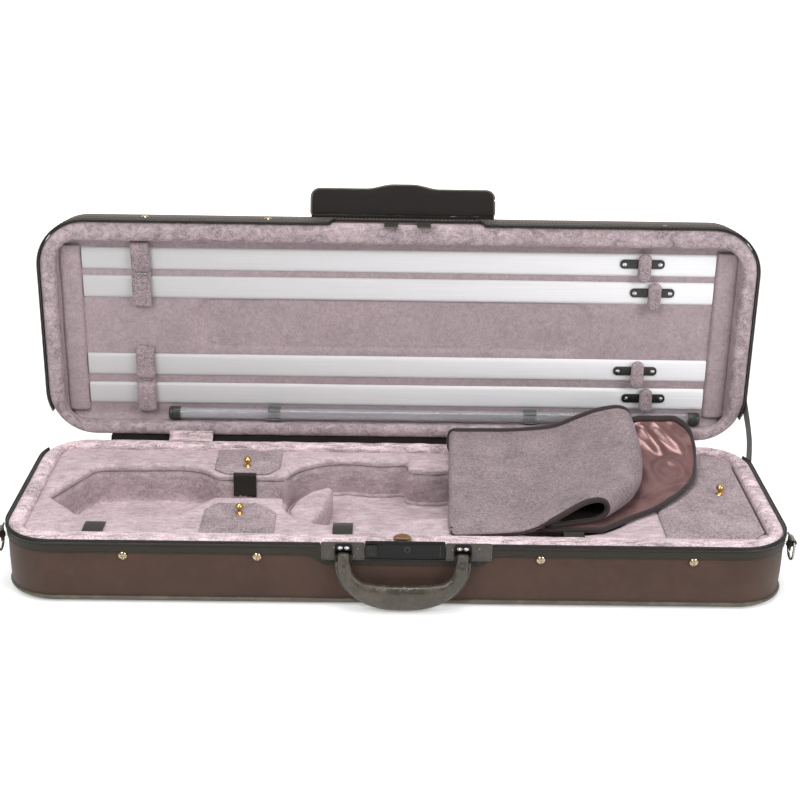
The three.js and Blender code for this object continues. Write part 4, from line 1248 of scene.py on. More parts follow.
def turn_buttons():
    for k in range(1, 5):
        low, high = closed_box(f"turn_plate_{k}")
        plate = prism(f"turn_plate_{k}_moulded", rounded_plate(low, high, 4.6), "z", low[2], high[2], 0.6,
                      finish_of("plastic"), lid=True)
        seat(plate, "lid", [f"turn_plate_{k}"])
        y = (low[1] + high[1]) / 2
        rivets = repeat(f"turn_plate_{k}_rivets", dome_shape("rivet", 1.5, 0.7, 0.8),
                        opened([(low[0] + 5, y, low[2]), (high[0] - 5, y, low[2])]), (0, -1, 0), (1, 0, 0),
                        finish_of("chrome"))
        seat(rivets, "lid")
        node = f"turn_button_{k}"
        low, high = closed_box(node)
        rows = []
        for inset, share in ((5, 0), (1.2, 0.02), (0.1, 0.14), (-0.2, 0.4), (-0.2, 0.6), (0.3, 0.82), (1.6, 0.95), (3.4, 1.0), (5.4, 1.01)):
            z = high[2] + (low[2] - high[2]) * share
            radius = min(8.2, (high[0] - low[0]) / 2 - 0.3) - inset
            outline = rounded_rectangle(low[0] + inset, high[0] - inset, low[1] + inset, high[1] - inset, radius, 8, 3, 6)
            rows.append(wavy(at_height(outline, z), 0.25, 4.0, 40 + k))
        points, faces = skin(rows)
        button = mesh_piece(f"{node}_covered", opened(points), faces, finish_of("plush_cover"), 180)
        seat(button, node, [node])


def string_tube():
    low, high = closed_box("string_tube")
    y, z, radius = (low[1] + high[1]) / 2, (low[2] + high[2]) / 2, (high[1] - low[1]) / 2

    def around_x(profile, sides=36):
        rows = [np.column_stack([np.full(sides, x), y + r * np.cos(a), z + r * np.sin(a)])
                for x, r in profile for a in [np.linspace(0, 2 * math.pi, sides, endpoint=False)]]
        return rows

    walls = [(low[0], radius), (high[0], radius), (high[0], radius - 1), (low[0], radius - 1)]
    points, faces = skin(around_x(walls), True)
    seat(mesh_piece("clear_tube", opened(points), faces, finish_of("clear"), 40), "lid",
         ["string_tube"])
    for name, sign in (("left", -1), ("right", 1)):
        cap_low, cap_high = closed_box(f"tube_cap_{name}")
        mouth, end = (cap_high[0], cap_low[0]) if sign < 0 else (cap_low[0], cap_high[0])
        inner = end - sign * 5
        big = (cap_high[1] - cap_low[1]) / 2
        profile = [(end, 0.5), (end, big - 1.4), (end - sign * 0.5, big - 0.4), (end - sign * 1.4, big)]
        profile += [(end - sign * 4, big), (end - sign * 4.4, big - 0.4), (end - sign * 4.8, big)]
        profile += [(mouth + sign * 0.6, big), (mouth, big - 0.3), (mouth, radius + 0.3), (inner, radius + 0.3), (inner, 0.5)]
        points, faces = skin(around_x(profile))
        seat(mesh_piece(f"tube_end_{name}", opened(points), faces, finish_of("rubber"), 40), "lid",
             [f"tube_cap_{name}"])
        clip_low, clip_high = closed_box(f"tube_clip_{name}")
        arc = np.radians(np.linspace(-50, 230, 40))
        outer = np.column_stack([y + (radius + 1.7) * np.cos(arc), z + (radius + 1.7) * np.sin(arc)])
        bore = np.column_stack([y + (radius + 0.4) * np.cos(arc), z + (radius + 0.4) * np.sin(arc)])[::-1]
        jaw = prism(f"tube_clip_{name}_moulded", np.concatenate([outer, bore]), "x", clip_low[0], clip_high[0],
                    0.0, finish_of("clip"), lid=True, sharp=50)
        seat(jaw, "lid", [f"tube_clip_{name}"])
        foot = [(y - 6, z + radius + 1.2), (y + 6, z + radius + 1.2), (y + 6, clip_high[2]), (y - 6, clip_high[2])]
        base = prism(f"tube_clip_{name}_foot", foot, "x", clip_low[0], clip_high[0], 0.7, finish_of("clip"), lid=True)
        seat(base, "lid")


# ---- the folded blanket ----
# Each row is a place along Y, with the right end of the lower layer and that layer's height there, the
# right side of the loose roll, the roll's height, and the height of the upper layer at the left.
BLANKET_ROWS = np.array([
    [-103, 196, 70.4, 188, 88, 70.0],
    [-92, 206, 70.6, 201, 95, 73.0],
    [-82, 217, 71.0, 210, 99, 74.5],
    [-72, 230, 71.6, 219, 102, 75.5],
    [-58, 250, 72.4, 232, 103.5, 77],
    [-42, 272, 73.0, 246, 104.5, 79],
    [-26, 288, 74.0, 254, 105, 81],
    [-3, 307, 75.5, 261, 107, 84],
    [29, 324, 77.5, 266, 112, 87.5],
    [65, 331, 84.0, 267, 118, 90.5],
    [85, 333, 93.0, 266, 122, 92.5],
    [100, 329, 105.0, 264, 125, 94],
    [107, 316, 113.0, 262, 126, 95],
])
ALONG_STEPS, SECTION_STEPS = 104, 280


def blanket_section(y, tail, tail_top, roll, roll_top, left_top, bottom):
    """The quilt's middle line across the case: lower layer, fold, upper layer, and its end curled under."""
    def lower(x):
        share = np.clip((x - 205) / 62, 0, 1)
        return bottom + (tail_top - 2.4 - bottom) * share * share * (3 - 2 * share)

    left = 56 + 0.037 * y
    points = [(x, lower(x)) for x in np.linspace(tail, left + 10, 12)]
    top = left_top - 2.2
    points += [(left + 3.0, bottom + 0.8), (left + 1.6, (bottom + top) / 2), (left + 3.0, top - 0.6), (left + 12, top)]
    hump = roll_top - 2.2
    reach = roll - left
    rise = hump - top
    points += [(left + 0.36 * reach, top + 1.0), (left + 0.56 * reach, top + 0.16 * rise + 1.0)]
    points += [(left + 0.70 * reach, top + 0.52 * rise), (left + 0.82 * reach, top + 0.86 * rise)]
    sole = lower(roll - 10) + 4.8
    thick = hump - sole
    points += [(roll - 17, hump), (roll - 6, hump - 0.12 * thick), (roll - 1, hump - 0.45 * thick)]
    points += [(roll - 3, sole + 0.22 * thick), (roll - 11, sole + 0.4), (roll - 26, sole), (roll - 48, sole + 0.5)]
    return smooth_path(points, SECTION_STEPS)


UPPER_FRONT = ([50, 140, 168, 195, 208, 217], [-103, -102, -96, -84, -76, -72])
UNDER_FRONT = ([140, 168, 192, 213, 217], [-98, -92, -84, -76, -72])


def blanket_grid():
    """Points of the quilt's middle surface: one row for each step along its section."""
    bottom = node_box("blanket")[0][2] + 2.6
    levels = np.linspace(BLANKET_ROWS[0, 0], BLANKET_ROWS[-1, 0], 70)
    rows = smooth_path(BLANKET_ROWS, 600)
    settings = np.column_stack([np.interp(levels, rows[:, 0], rows[:, k]) for k in range(1, 6)])
    sections = np.array([blanket_section(y, *row, bottom) for y, row in zip(levels, settings)])
    near = sections[int(np.argmin(abs(levels + 76)))]
    fold, turn = int(np.argmin(near[: SECTION_STEPS // 2 + 40, 0])), int(0.5 * SECTION_STEPS)
    turn += int(np.argmax(near[turn:, 0]))
    front = np.full(SECTION_STEPS, -91.0)
    front[fold:turn] = np.interp(near[fold:turn, 0], *UPPER_FRONT)
    front[turn:] = np.interp(near[turn:, 0], *UNDER_FRONT)
    front = np.convolve(np.pad(front, 5, "edge"), np.ones(11) / 11, "valid")
    grid = np.zeros((SECTION_STEPS, ALONG_STEPS, 3))
    for k in range(SECTION_STEPS):
        y = np.linspace(front[k], levels[-1], ALONG_STEPS)
        grid[k] = np.column_stack([np.interp(y, levels, sections[:, k, 0]), y, np.interp(y, levels, sections[:, k, 1])])
    return grid


SATIN_FOLDS = [((270, 105), (300, 64), 5.0, 4.6), ((288, 104), (322, 68), 3.6, 4.2), ((262, -28), (316, 14), 2.0, 3.6),
               ((304, 106), (322, 90), 2.6, 3.6), ((326, 84), (323, 40), 1.6, 3.2), ((268, 60), (276, 6), 2.0, 5.0)]
SATIN_DIMPLE = (299.0, 36.0, 15.0, 4.6, 2.4)


def satin_relief(points):
    """Height of the soft folds on the part of the lower layer that shows."""
    x, y, radius, width, height = SATIN_DIMPLE
    distance = np.linalg.norm((points[:, :2] - [x, y]) * [1.0, 0.75], axis=1)
    relief = height * np.exp(-(((distance - radius) / width) ** 2))
    for (x0, y0), (x1, y1), height, width in SATIN_FOLDS:
        run = np.array([x1 - x0, y1 - y0], float)
        length = np.linalg.norm(run)
        offset = points[:, :2] - [x0, y0]
        along = offset @ run / length
        away = offset @ np.array([-run[1], run[0]]) / length - 2.5 * np.sin(along / 15.0)
        ends = np.clip(along / 10, 0, 1) * np.clip((length - along) / 12, 0, 1)
        relief += height * ends * np.exp(-((away / width) ** 2))
    return relief


def blanket():
    grid = blanket_grid()
    shown = int(0.26 * SECTION_STEPS)
    flat = grid.reshape(-1, 3)
    flat[:, 2] += np.where(np.repeat(np.arange(SECTION_STEPS) < shown, ALONG_STEPS), satin_relief(flat), 0)
    grid = wavy(flat, 1.2, 38.0, 8).reshape(grid.shape)
    across, along = np.gradient(grid, axis=0), np.gradient(grid, axis=1)
    out = np.cross(across, along)
    out /= np.maximum(np.linalg.norm(out, axis=2, keepdims=True), 1e-9)
    half = 0.5 * bpy.context.scene.violin_case_sizes.quilt / MM
    outer, inner = grid + out * half, grid - out * half
    count = SECTION_STEPS * ALONG_STEPS
    index = np.arange(count).reshape(SECTION_STEPS, ALONG_STEPS)
    a, b, c, d = index[:-1, :-1], index[1:, :-1], index[1:, 1:], index[:-1, 1:]
    faces = np.stack([a, b, c, d], -1).reshape(-1, 4)
    inside = np.stack([a, d, c, b], -1).reshape(-1, 4) + count
    rim = np.concatenate([index[:, 0], index[-1, 1:], index[-2::-1, -1], index[0, -2:0:-1]])
    edge = np.stack([rim, np.roll(rim, -1), np.roll(rim, -1) + count, rim + count], -1)
    points = np.concatenate([outer.reshape(-1, 3), inner.reshape(-1, 3)])
    quilt = mesh_piece("folded_blanket", points, np.concatenate([faces, inside, edge]).tolist(), finish_of("plush_quilt"), 180)
    quilt.data.materials.append(finish_of("satin"))
    quilt.data.materials.append(finish_of("satin_painted_shade"))
    # Inner faces deep in the curl get the near-black satin: painted shade inside the rolled end.
    deep = int(0.4 * SECTION_STEPS) * (ALONG_STEPS - 1)
    for face in quilt.data.polygons:
        step = face.index - len(faces)
        face.material_index = 0 if not 0 <= step < len(faces) else 2 if step > deep else 1
    binding = bpy.context.scene.violin_case_sizes.binding / MM
    border = grid.reshape(-1, 3)[rim]
    border = evenly(np.vstack([border, border[:1]]), 760, True)
    for _ in range(3):
        border = 0.5 * border + 0.25 * (np.roll(border, 1, 0) + np.roll(border, -1, 0))
    thick = binding * np.where(border[:, 1] > 98, 1.5, np.where((border[:, 1] < -90) & (border[:, 0] < 150), 0.4, 1.0))
    thick = np.convolve(np.pad(thick, 4, "wrap"), np.ones(9) / 9, "valid")
    bound = tube_without_twist("blanket_binding", border, thick, finish_of("binding"))
    for piece, replaced in ((quilt, ["blanket"]), (bound, [])):
        seat(piece, "blanket", replaced)
        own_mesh(piece)


def tube_without_twist(name, path, radius, material, sides=12):
    """A closed cord whose section turns as little as it can along its path, with its radius at each point."""
    along = np.roll(path, -1, 0) - np.roll(path, 1, 0)
    along /= np.linalg.norm(along, axis=1, keepdims=True)
    side = Vector(along[0]).orthogonal().normalized()
    rows, sides_at = [], []
    for here, before in zip(along, np.roll(along, 1, 0)):
        side = Vector(before).rotation_difference(Vector(here)) @ side
        side = (side - Vector(here) * side.dot(Vector(here))).normalized()
        sides_at.append(side.copy())
    turn = np.linspace(0, 2 * math.pi, sides, endpoint=False)
    last = Vector(along[-1]).rotation_difference(Vector(along[0])) @ sides_at[-1]
    left_over = math.atan2(Vector(along[0]).dot(sides_at[0].cross(last)), sides_at[0].dot(last))
    for i, (place, here, side, thick) in enumerate(zip(path, along, sides_at, radius)):
        side = Quaternion(Vector(here), -left_over * i / len(path)) @ side
        lift = np.array(Vector(here).cross(side))
        rows.append(place + thick * (np.cos(turn)[:, None] * np.array(side) + np.sin(turn)[:, None] * lift))
    return mesh_piece(name, *skin(rows, True), material, 180)


# ---- lock ----
def lock():
    low, high = node_box("lock_body")
    face, x = low[1], (low[0] + high[0]) / 2
    outline = rounded_rectangle(low[0], high[0], low[2], high[2], 1.2, 4, 2, 2)
    case = prism("lock_case", outline, "y", face + 0.5, high[1], 0.5, finish_of("enamel"))
    seat(case, "base", ["lock_body"])
    plate = rounded_rectangle(low[0] + 13.5, high[0] - 3, low[2] + 1.2, high[2] - 1.2, 1.0, 4, 2, 2)
    seat(prism("lock_face_plate", plate, "y", face, face + 1.0, 0.3, finish_of("enamel")), "base")
    key_x, key_z = x + 2, 66.0
    points, faces = lathe([(0, -0.3), (2.0, -0.3), (2.0, 0.5), (3.0, 0.55), (3.4, 0.2), (3.4, -0.4), (0, -0.4)], 32)
    ring = mesh_piece("keyhole_ring", placed(points, (key_x, face, key_z), (0, -1, 0)), faces, finish_of("plastic"))
    seat(ring, "base")
    arc = np.radians(np.linspace(-60, 240, 22))
    hole = [(key_x + 1.35 * math.cos(a), key_z + 0.6 + 1.35 * math.sin(a)) for a in arc]
    hole += [(key_x - 0.75, key_z - 3.2), (key_x + 0.75, key_z - 3.2)]
    seat(prism("keyhole_opening", hole, "y", face - 0.32, face + 0.4, 0.0, finish_of("shadow")), "base")
    for shift in (-1, 1):
        edge = x + shift * 33 + 2
        groove = [(edge - 0.3, low[2] + 1.4), (edge + 0.3, low[2] + 1.4), (edge + 0.3, high[2] - 1.4), (edge - 0.3, high[2] - 1.4)]
        seat(prism(f"lock_plate_fold_{'left' if shift < 0 else 'right'}", groove, "y", face - 0.35, face + 0.3, 0.12,
                   finish_of("plastic")), "base")
    low, high = node_box("lock_slide")
    ribs = []
    xs = np.linspace(low[0], high[0], 61)
    for along in xs:
        ribs.append((along, low[1] + 0.42 - 0.42 * math.cos((along - low[0]) / (high[0] - low[0]) * 10 * math.pi)))
    outline = ribs + [(high[0], high[1]), (low[0], high[1])]
    seat(prism("lock_slide_button", outline, "z", low[2], high[2], 0.0, finish_of("plastic"), sharp=60),
         "lock_slide", ["lock_slide"])
    repaint("lock_hasp", "dark_steel")


def lock_facing():
    low, high = node_box("lock_facing")
    body_low, body_high = node_box("lock_body")
    for name, x0, x1 in (("left", low[0], body_low[0] - 0.4), ("right", body_high[0] + 0.4, high[0])):
        outline = rounded_rectangle(x0, x1, low[2], high[2], 2.0, 6, 2, 2)
        plate = prism(f"lock_facing_{name}", outline, "y", low[1], high[1], 0.35, finish_of("vinyl"))
        seat(plate, "base", ["lock_facing"] if name == "left" else [])
        outer = x0 if name == "left" else x1
        inner = x1 if name == "left" else x0
        towards = 1 if name == "left" else -1
        seam = np.array([(inner, low[1], low[2] + 1.8), (outer + towards * 3, low[1], low[2] + 1.8),
                         (outer + towards * 1.8, low[1], low[2] + 3), (outer + towards * 1.8, low[1], high[2] - 1.5)])
        sewn = stitches(f"lock_facing_{name}_stitches", smooth_path(seam, 60), (0, -1, 0), finish_of("thread"), 2.2, 0.5)
        seat(sewn, "base")
        places = [(outer + towards * 13, low[1], 66.5), (inner - towards * 7, low[1], 65.5), (inner - towards * 11, low[1], 57.5)]
        pins = repeat(f"lock_facing_{name}_pins", dome_shape("pin", 0.75, 0.45), places, (0, -1, 0), (1, 0, 0),
                      finish_of("steel"))
        seat(pins, "base")


def thumb_tab():
    low, high = node_box("thumb_tab")
    x, root, radius = (low[0] + high[0]) / 2, low[1], high[1] - low[1]
    turn = np.linspace(0, math.pi, 30)
    rows = []
    for inset, z in ((1.0, high[2]), (0.35, high[2] + 0.1), (0, high[2] + 0.7), (0.1, high[2] + 1.4), (0.8, high[2] + 1.9), (2.2, high[2] + 2.1), (6, high[2] + 2.3)):
        reach = radius - inset
        arc = [(x + reach * math.cos(a), root + reach * math.sin(a), z) for a in turn]
        rows.append(arc + [(x - reach, root - 2 + inset * 0.4, z - 0.4), (x + reach, root - 2 + inset * 0.4, z - 0.4)])
    tab = mesh_piece("thumb_tab_leather", *skin([np.array(r) for r in rows]), finish_of("tab"), 60)
    seat(tab, "base", ["thumb_tab"])


# ---- handle ----
HANDLE_X, HANDLE_REACH, HANDLE_DROP, HANDLE_LEAN, HANDLE_ROUND = 6.0, 59.5, 43.0, 4.6, 2.6


def handle_line(count):
    """Points of the handle's middle line, the way out from its middle, and how full the grip is there."""
    turn = math.pi / 2 * (1 - np.cos(np.linspace(0, math.pi, 2001)))
    power = 2 / HANDLE_ROUND
    across = -np.sign(np.cos(turn)) * np.abs(np.cos(turn)) ** power
    down = np.sin(turn) ** power
    _, pivot_y, pivot_z = joint_place("handle_swing")
    line = np.column_stack([HANDLE_X + HANDLE_REACH * across, pivot_y - HANDLE_LEAN * down, pivot_z - HANDLE_DROP * down])
    full = np.sin(turn) ** 4
    table = evenly(np.column_stack([line, full]), count)
    line = table[:, :3]
    along = np.gradient(line, axis=0)[:, [0, 2]]
    along[0], along[-1] = (0, -1), (0, 1)
    along /= np.linalg.norm(along, axis=1, keepdims=True)
    out = np.column_stack([along[:, 1], np.zeros(count), -along[:, 0]])
    return line, out, table[:, 3]


def handle():
    count, sides = 120, 40
    line, out, full = handle_line(count)
    share = np.linspace(0, 1, count)
    leg = np.clip((np.minimum(share, 1 - share) - 0.01) / 0.05, 0, 1)
    wide = 6.0 + 1.0 * leg + 6.0 * full
    thick = 3.6 + 1.4 * leg + 2.4 * full
    shift = -0.6 * full
    turn = np.linspace(0, 2 * math.pi, sides, endpoint=False)
    c, s = np.cos(turn), np.sin(turn)
    ring = np.column_stack([np.sign(c) * np.abs(c) ** 0.8, np.sign(s) * np.abs(s) ** 0.8])
    rows = []
    for i in range(count):
        row = line[i] + out[i] * ((wide[i] * ring[:, :1]) + shift[i]) + np.array([0, 1, 0]) * thick[i] * ring[:, 1:]
        rows.append(row)
    end = [rows[0] + (0, 0, 2.6), rows[0] * (1, 1, 1) + (0, 0, 3.6)]
    end[1] = end[1].mean(0) + (end[1] - end[1].mean(0)) * 0.9
    close = [rows[-1] + (0, 0, 3.6), rows[-1] + (0, 0, 2.6)]
    close[0] = close[0].mean(0) + (close[0] - close[0].mean(0)) * 0.9
    rows = [end[1], end[0]] + rows + [close[1], close[0]]
    crease = np.concatenate([wavy(row, 0.34, 4.0, 50, (0, 1, 0)) for row in rows])
    points, faces = skin(rows)
    grip = mesh_piece("handle_grip", crease, faces, finish_of("leather"), 180)
    seat(grip, "handle", ["handle"])
    inner = int(count * 0.03)
    edge = line + out * (wide + shift + 0.2)[:, None]
    fin = np.column_stack([1.5 * np.cos(turn[::3]), 1.1 * np.sign(s[::3]) * np.abs(s[::3]) ** 0.7])
    section_rows = []
    for i in range(inner, count - inner):
        section_rows.append(edge[i] + out[i] * fin[:, :1] + np.array([0, 1, 0]) * fin[:, 1:])
    welt = mesh_piece("handle_welt", *skin(section_rows), finish_of("leather"), 60)
    seat(welt, "handle")
    seam_line = [line[i] + out[i] * (wide[i] + shift[i] - 2.4) + (0, -thick[i] * 0.80, 0) for i in range(inner, count - inner)]
    sewn = stitches("handle_stitches", np.array(seam_line), (0, -1, 0), finish_of("leather_thread"), 2.6, 0.45)
    seat(sewn, "handle")


def handle_brackets():
    for name in ("left", "right"):
        low, high = node_box(f"handle_bracket_{name}")
        x, face = (low[0] + high[0]) / 2, high[1] - 1.0
        outline = rounded_rectangle(low[0], high[0], low[2], high[2] + 0.6, 3.0, 6, 2, 2)
        plate = prism(f"handle_plate_{name}", outline, "y", face - 0.3, high[1], 0.35, finish_of("enamel"))
        cheeks = [prism("cheek", rounded_rectangle(side - 1, side + 1, 54.5, 63.0, 0.8, 3, 2, 2), "y", low[1], face, 0.2,
                        finish_of("enamel")) for side in (x - 7.6, x + 7.6)]
        axle = placed(lathe([(0, -7.8), (1.7, -7.8), (1.7, 7.8), (0, 7.8)], 20)[0], (x, joint_place("handle_swing")[1], 59.0), (1, 0, 0))
        pin = mesh_piece("axle", axle, lathe([(0, -7.8), (1.7, -7.8), (1.7, 7.8), (0, 7.8)], 20)[1], finish_of("enamel"))
        merged = joined(f"handle_plate_{name}", [plate, *cheeks, pin])
        seat(merged, "base", [f"handle_bracket_{name}"])
        rivets = repeat(f"handle_rivets_{name}", dome_shape("rivet", 2.0, 1.35, 0.5),
                        [(x - 3.2, face - 0.3, 66.4), (x + 3.2, face - 0.3, 66.4)], (0, -1, 0), (1, 0, 0), finish_of("chrome"))
        seat(rivets, "base")


def joined(name, parts):
    """One mesh from several loose pieces."""
    work = bmesh.new()
    for part in parts:
        work.from_mesh(part.data)
    mesh = bpy.data.meshes.new(name)
    work.to_mesh(mesh)
    work.free()
    for material in parts[0].data.materials:
        mesh.materials.append(material)
    for part in parts:
        bpy.data.objects.remove(part)
    mesh.shade_smooth()
    mesh.set_sharp_from_angle(angle=math.radians(35))
    piece = bpy.data.objects.new(name, mesh)
    bpy.context.scene.collection.objects.link(piece)
    return piece


# ---- screws, studs, carrying rings and hinges ----
def cover_screws():
    places = [(x, FRONT - 0.4, z) for x, z in ((-274, 53.6), (-140, 54.0), (144, 54.0), (297.5, 53.6))]
    screws = repeat("cover_screws", screw_shape("screw", 4.3, 3.0), places, (0, -1, 0), (1, 0, 0), finish_of("screw"))
    seat(screws, "base")


def lid_studs():
    front = opened([(-282, FRONT + 0.8, 94), (-146, FRONT + 0.8, 93), (292, FRONT + 0.8, 84)])
    studs = repeat("lid_front_studs", screw_shape("screw", 4.0, 2.8), front, (0, 0, 1), (1, 0, 0), finish_of("screw"))
    seat(studs, "lid")
    side = [(RIGHT - 1.2, 134.6, 261.0), (RIGHT - 1.2, 134.6, 149.0)]
    studs = repeat("lid_end_studs", dome_shape("stud", 3.0, 1.6, 0.8), side, (1, 0, 0), (0, 1, 0), finish_of("chrome"))
    seat(studs, "lid")


def carrying_rings():
    for name, side in (("left", -1), ("right", 1)):
        ring_low, ring_high = node_box(f"carrying_ring_{name}")
        _, y, z = joint_place(f"ring_{name}_swing")
        x, wire = (ring_low[0] + ring_high[0]) / 2, 1.4
        half = (ring_high[1] - ring_low[1]) / 2 - wire
        turn = np.linspace(0, -math.pi, 28)
        level = ring_low[2] + wire + half
        path = [(x, y + half * math.cos(a), level + half * math.sin(a)) for a in turn]
        path += [(x, y - half, z - 1.5), (x, y - half + 1.5, z), (x, y + half - 1.5, z), (x, y + half, z - 1.5)]
        path = evenly(np.vstack([path, path[:1]]), 120, True)
        loop = cord(f"wire_ring_{name}", path, wire, finish_of("steel"), True, (1, 0, 0), 12)
        seat(loop, f"carrying_ring_{name}", [f"carrying_ring_{name}"])
        low, high = node_box(f"ring_tab_{name}")
        wall = RIGHT if side > 0 else LEFT
        foot = wall + side * 1.0
        profile = [(foot, y, high[2]), (foot + side * 0.3, y, z + 3.6), (x - side * 0.6, y, z + 2.7), (x + side * 1.8, y, z + 1.9),
                   (x + side * 2.7, y, z), (x + side * 1.8, y, z - 1.9), (x - side * 0.6, y, z - 2.9), (foot + side * 0.3, y, z - 4.6),
                   (foot, y, low[2])]
        webbing(f"ring_tab_{name}_leather", smooth_path(profile, 40), 14, 1.3, replaces=[f"ring_tab_{name}"],
                finish="leather", up=(0, side, 0))


def hinges():
    for name in ("left", "right"):
        for node in (f"hinge_leaf_base_{name}", f"hinge_leaf_lid_{name}", f"hinge_pin_{name}"):
            repaint(node, "dark_steel")


# ---- cloth that crosses the hinge line ----
def rear_strip():
    low, high = node_box("rear_cover_strip")
    profile = smooth_path([(BACK + 0.5, low[2]), (BACK + 0.7, 52), (BACK + 0.9, 64), (BACK + 1.8, 68.0), (BACK + 4.6, high[2] - 0.6),
                           (BACK + 9, high[2] - 0.5), (high[1] - 8, high[2] - 0.5), (high[1], high[2] - 0.5)], 46)
    along = np.gradient(profile, axis=0)
    side = np.column_stack([along[:, 1], -along[:, 0]]) / np.linalg.norm(along, axis=1, keepdims=True)
    ring = np.concatenate([profile + side * 0.5, (profile - side * 0.5)[::-1]])
    xs = np.linspace(low[0], high[0], 130)
    rows = [wavy(np.column_stack([np.full(len(ring), x), ring]), 0.3, 30.0, 60, (0, 1, 0.3)) for x in xs]
    strip = mesh_piece("rear_cloth_strip", *skin(rows), finish_of("flap"), 60)
    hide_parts("rear_cover_strip")
    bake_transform(strip)


def zipper_tail():
    low, _ = node_box("zipper_tail")
    x = low[0]
    outer = smooth_path([(82, 60), (83.5, 76), (90, 93), (103, 106), (118, 117), (131, 126)], 40)
    inner = smooth_path([(103, 60), (104.5, 72), (109, 84), (119, 95), (131, 103), (143, 111)], 40)
    rows = []
    for (oy, oz), (iy, iz) in zip(outer, inner):
        front = [(oy + (iy - oy) * t, oz + (iz - oz) * t) for t in np.linspace(0, 1, 15)]
        lift = [0.9 + 0.25 * math.sin(t * math.pi) + (0.45 if abs(t - 0.5) < 0.12 else 0) for t in np.linspace(0, 1, 15)]
        rows.append([(x + h, y, z) for (y, z), h in zip(front, lift)] + [(x + 0.1, y, z) for y, z in front[::-1]])
    tail = mesh_piece("zipper_tail_tape", *skin([np.array(r) for r in rows]), finish_of("tape"), 60)
    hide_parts("zipper_tail")
    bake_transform(tail)
    for k, shift in enumerate((0.18, 0.82)):
        seam = [(x + 1.15, oy + (iy - oy) * shift, oz + (iz - oz) * shift) for (oy, oz), (iy, iz) in zip(outer, inner)]
        sewn = stitches(f"zipper_tail_stitches_{k + 1}", np.array(seam), (1, 0, 0), finish_of("thread"), 3.0, 0.5)
        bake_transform(sewn)


# ---- the flap over the lock ----
FLAP_LEAN = 25.0


def flap():
    """A padded flap with a deeper middle, standing up from its fold."""
    low, high = node_box("lid_flap")
    _, root_y, root_z = joint_place("flap_fold")
    x, half = (low[0] + high[0]) / 2, (high[0] - low[0]) / 2
    lean = math.radians(FLAP_LEAN)
    tall = (high[2] - root_z - 2.2) / math.cos(lean)
    wing, hump, thick = tall - 5.0, 35.0, 2.5
    corner = np.radians(np.linspace(0, 90, 10))
    side = [(half - 9 + 9 * math.cos(a), wing - 9 + 9 * math.sin(a)) for a in corner]
    rise = [(u, wing + 5.0 * (0.5 + 0.5 * math.cos(math.pi * (abs(u) - 10) / (hump - 4))) if 10 < abs(u) < hump + 6
             else (wing + 5.0 if abs(u) <= 10 else wing)) for u in np.linspace(hump + 8, -hump - 8, 50)]
    outline = evenly(np.array([(half, 0.5)] + side + rise + [(-u, v) for u, v in side[::-1]] + [(-half, 0.5), (half, 0.5)]), 260, True)

    def stand(u, v, out):
        return (x + u, root_y + v * math.sin(lean) + out * math.cos(lean) * -1, root_z + v * math.cos(lean) + out * math.sin(lean))

    middle = np.array([0.0, wing * 0.45])
    rows = []
    for shrink, out in ((0.0, -0.6), (0.5, -0.9), (0.90, -0.95), (0.965, -0.75), (1.0, -0.15), (1.0, 0.25), (0.965, 0.8), (0.90, 1.0), (0.5, 0.92), (0.0, 0.6)):
        ring = middle + (outline - middle) * [1 - (1 - shrink) * (1 if shrink < 0.6 else 0.32), shrink]
        rows.append(wavy(np.array([stand(u, v, out * thick) for u, v in ring]), 0.3, 12.0, 70))
    padded_flap = mesh_piece("padded_flap", *skin(rows[1:-1]), finish_of("flap"), 180)
    seat(padded_flap, "lid_flap", ["lid_flap"])
    edge = np.array([stand(u, v, 0) for u, v in outline if v > 0.6])
    start = int(np.argmax(np.linalg.norm(np.diff(edge, axis=0), axis=1))) + 1
    edge = np.roll(edge, -start, 0) if start < len(edge) - 1 else edge
    seat(cord("flap_edge_cord", edge, 1.5, finish_of("piping"), up=(0, 1, 0)), "lid_flap")
    fold = np.array([(x - half, root_y - 0.2, root_z - 1.1), (x + half, root_y - 0.2, root_z - 1.1)])
    seat(cord("flap_fold_cord", evenly(fold, 60), 1.6, finish_of("flap"), up=(0, 1, 0)), "lid_flap")


# ---- stage ----
CAMERA_PLACE = (-14.14, -1434.79, 747.83)
CAMERA_YAW, CAMERA_PITCH, CAMERA_ROLL, CAMERA_LENS = -0.6309, 21.816, 0.979, 66.21


def camera():
    data = bpy.data.cameras.new("Camera")
    data.lens, data.sensor_width, data.clip_end = CAMERA_LENS, 36.0, 20.0
    eye = bpy.data.objects.new("Camera", data)
    bpy.context.scene.collection.objects.link(eye)
    turn = Quaternion((0, 0, 1), math.radians(CAMERA_YAW)) @ Quaternion((1, 0, 0), math.radians(90 - CAMERA_PITCH))
    eye.matrix_world = Matrix.Translation(Vector(CAMERA_PLACE) * MM) @ (
        turn @ Quaternion((0, 0, 1), math.radians(CAMERA_ROLL))).to_matrix().to_4x4()
    bpy.context.scene.camera = eye


LIGHTS = {
    "key": ((-0.9, -1.5, 1.7), 22.0, 1.1),
    "fill": ((1.4, -1.1, 1.2), 17.0, 1.0),
    "overhead": ((0.0, 0.0, 2.1), 22.0, 1.2),
}


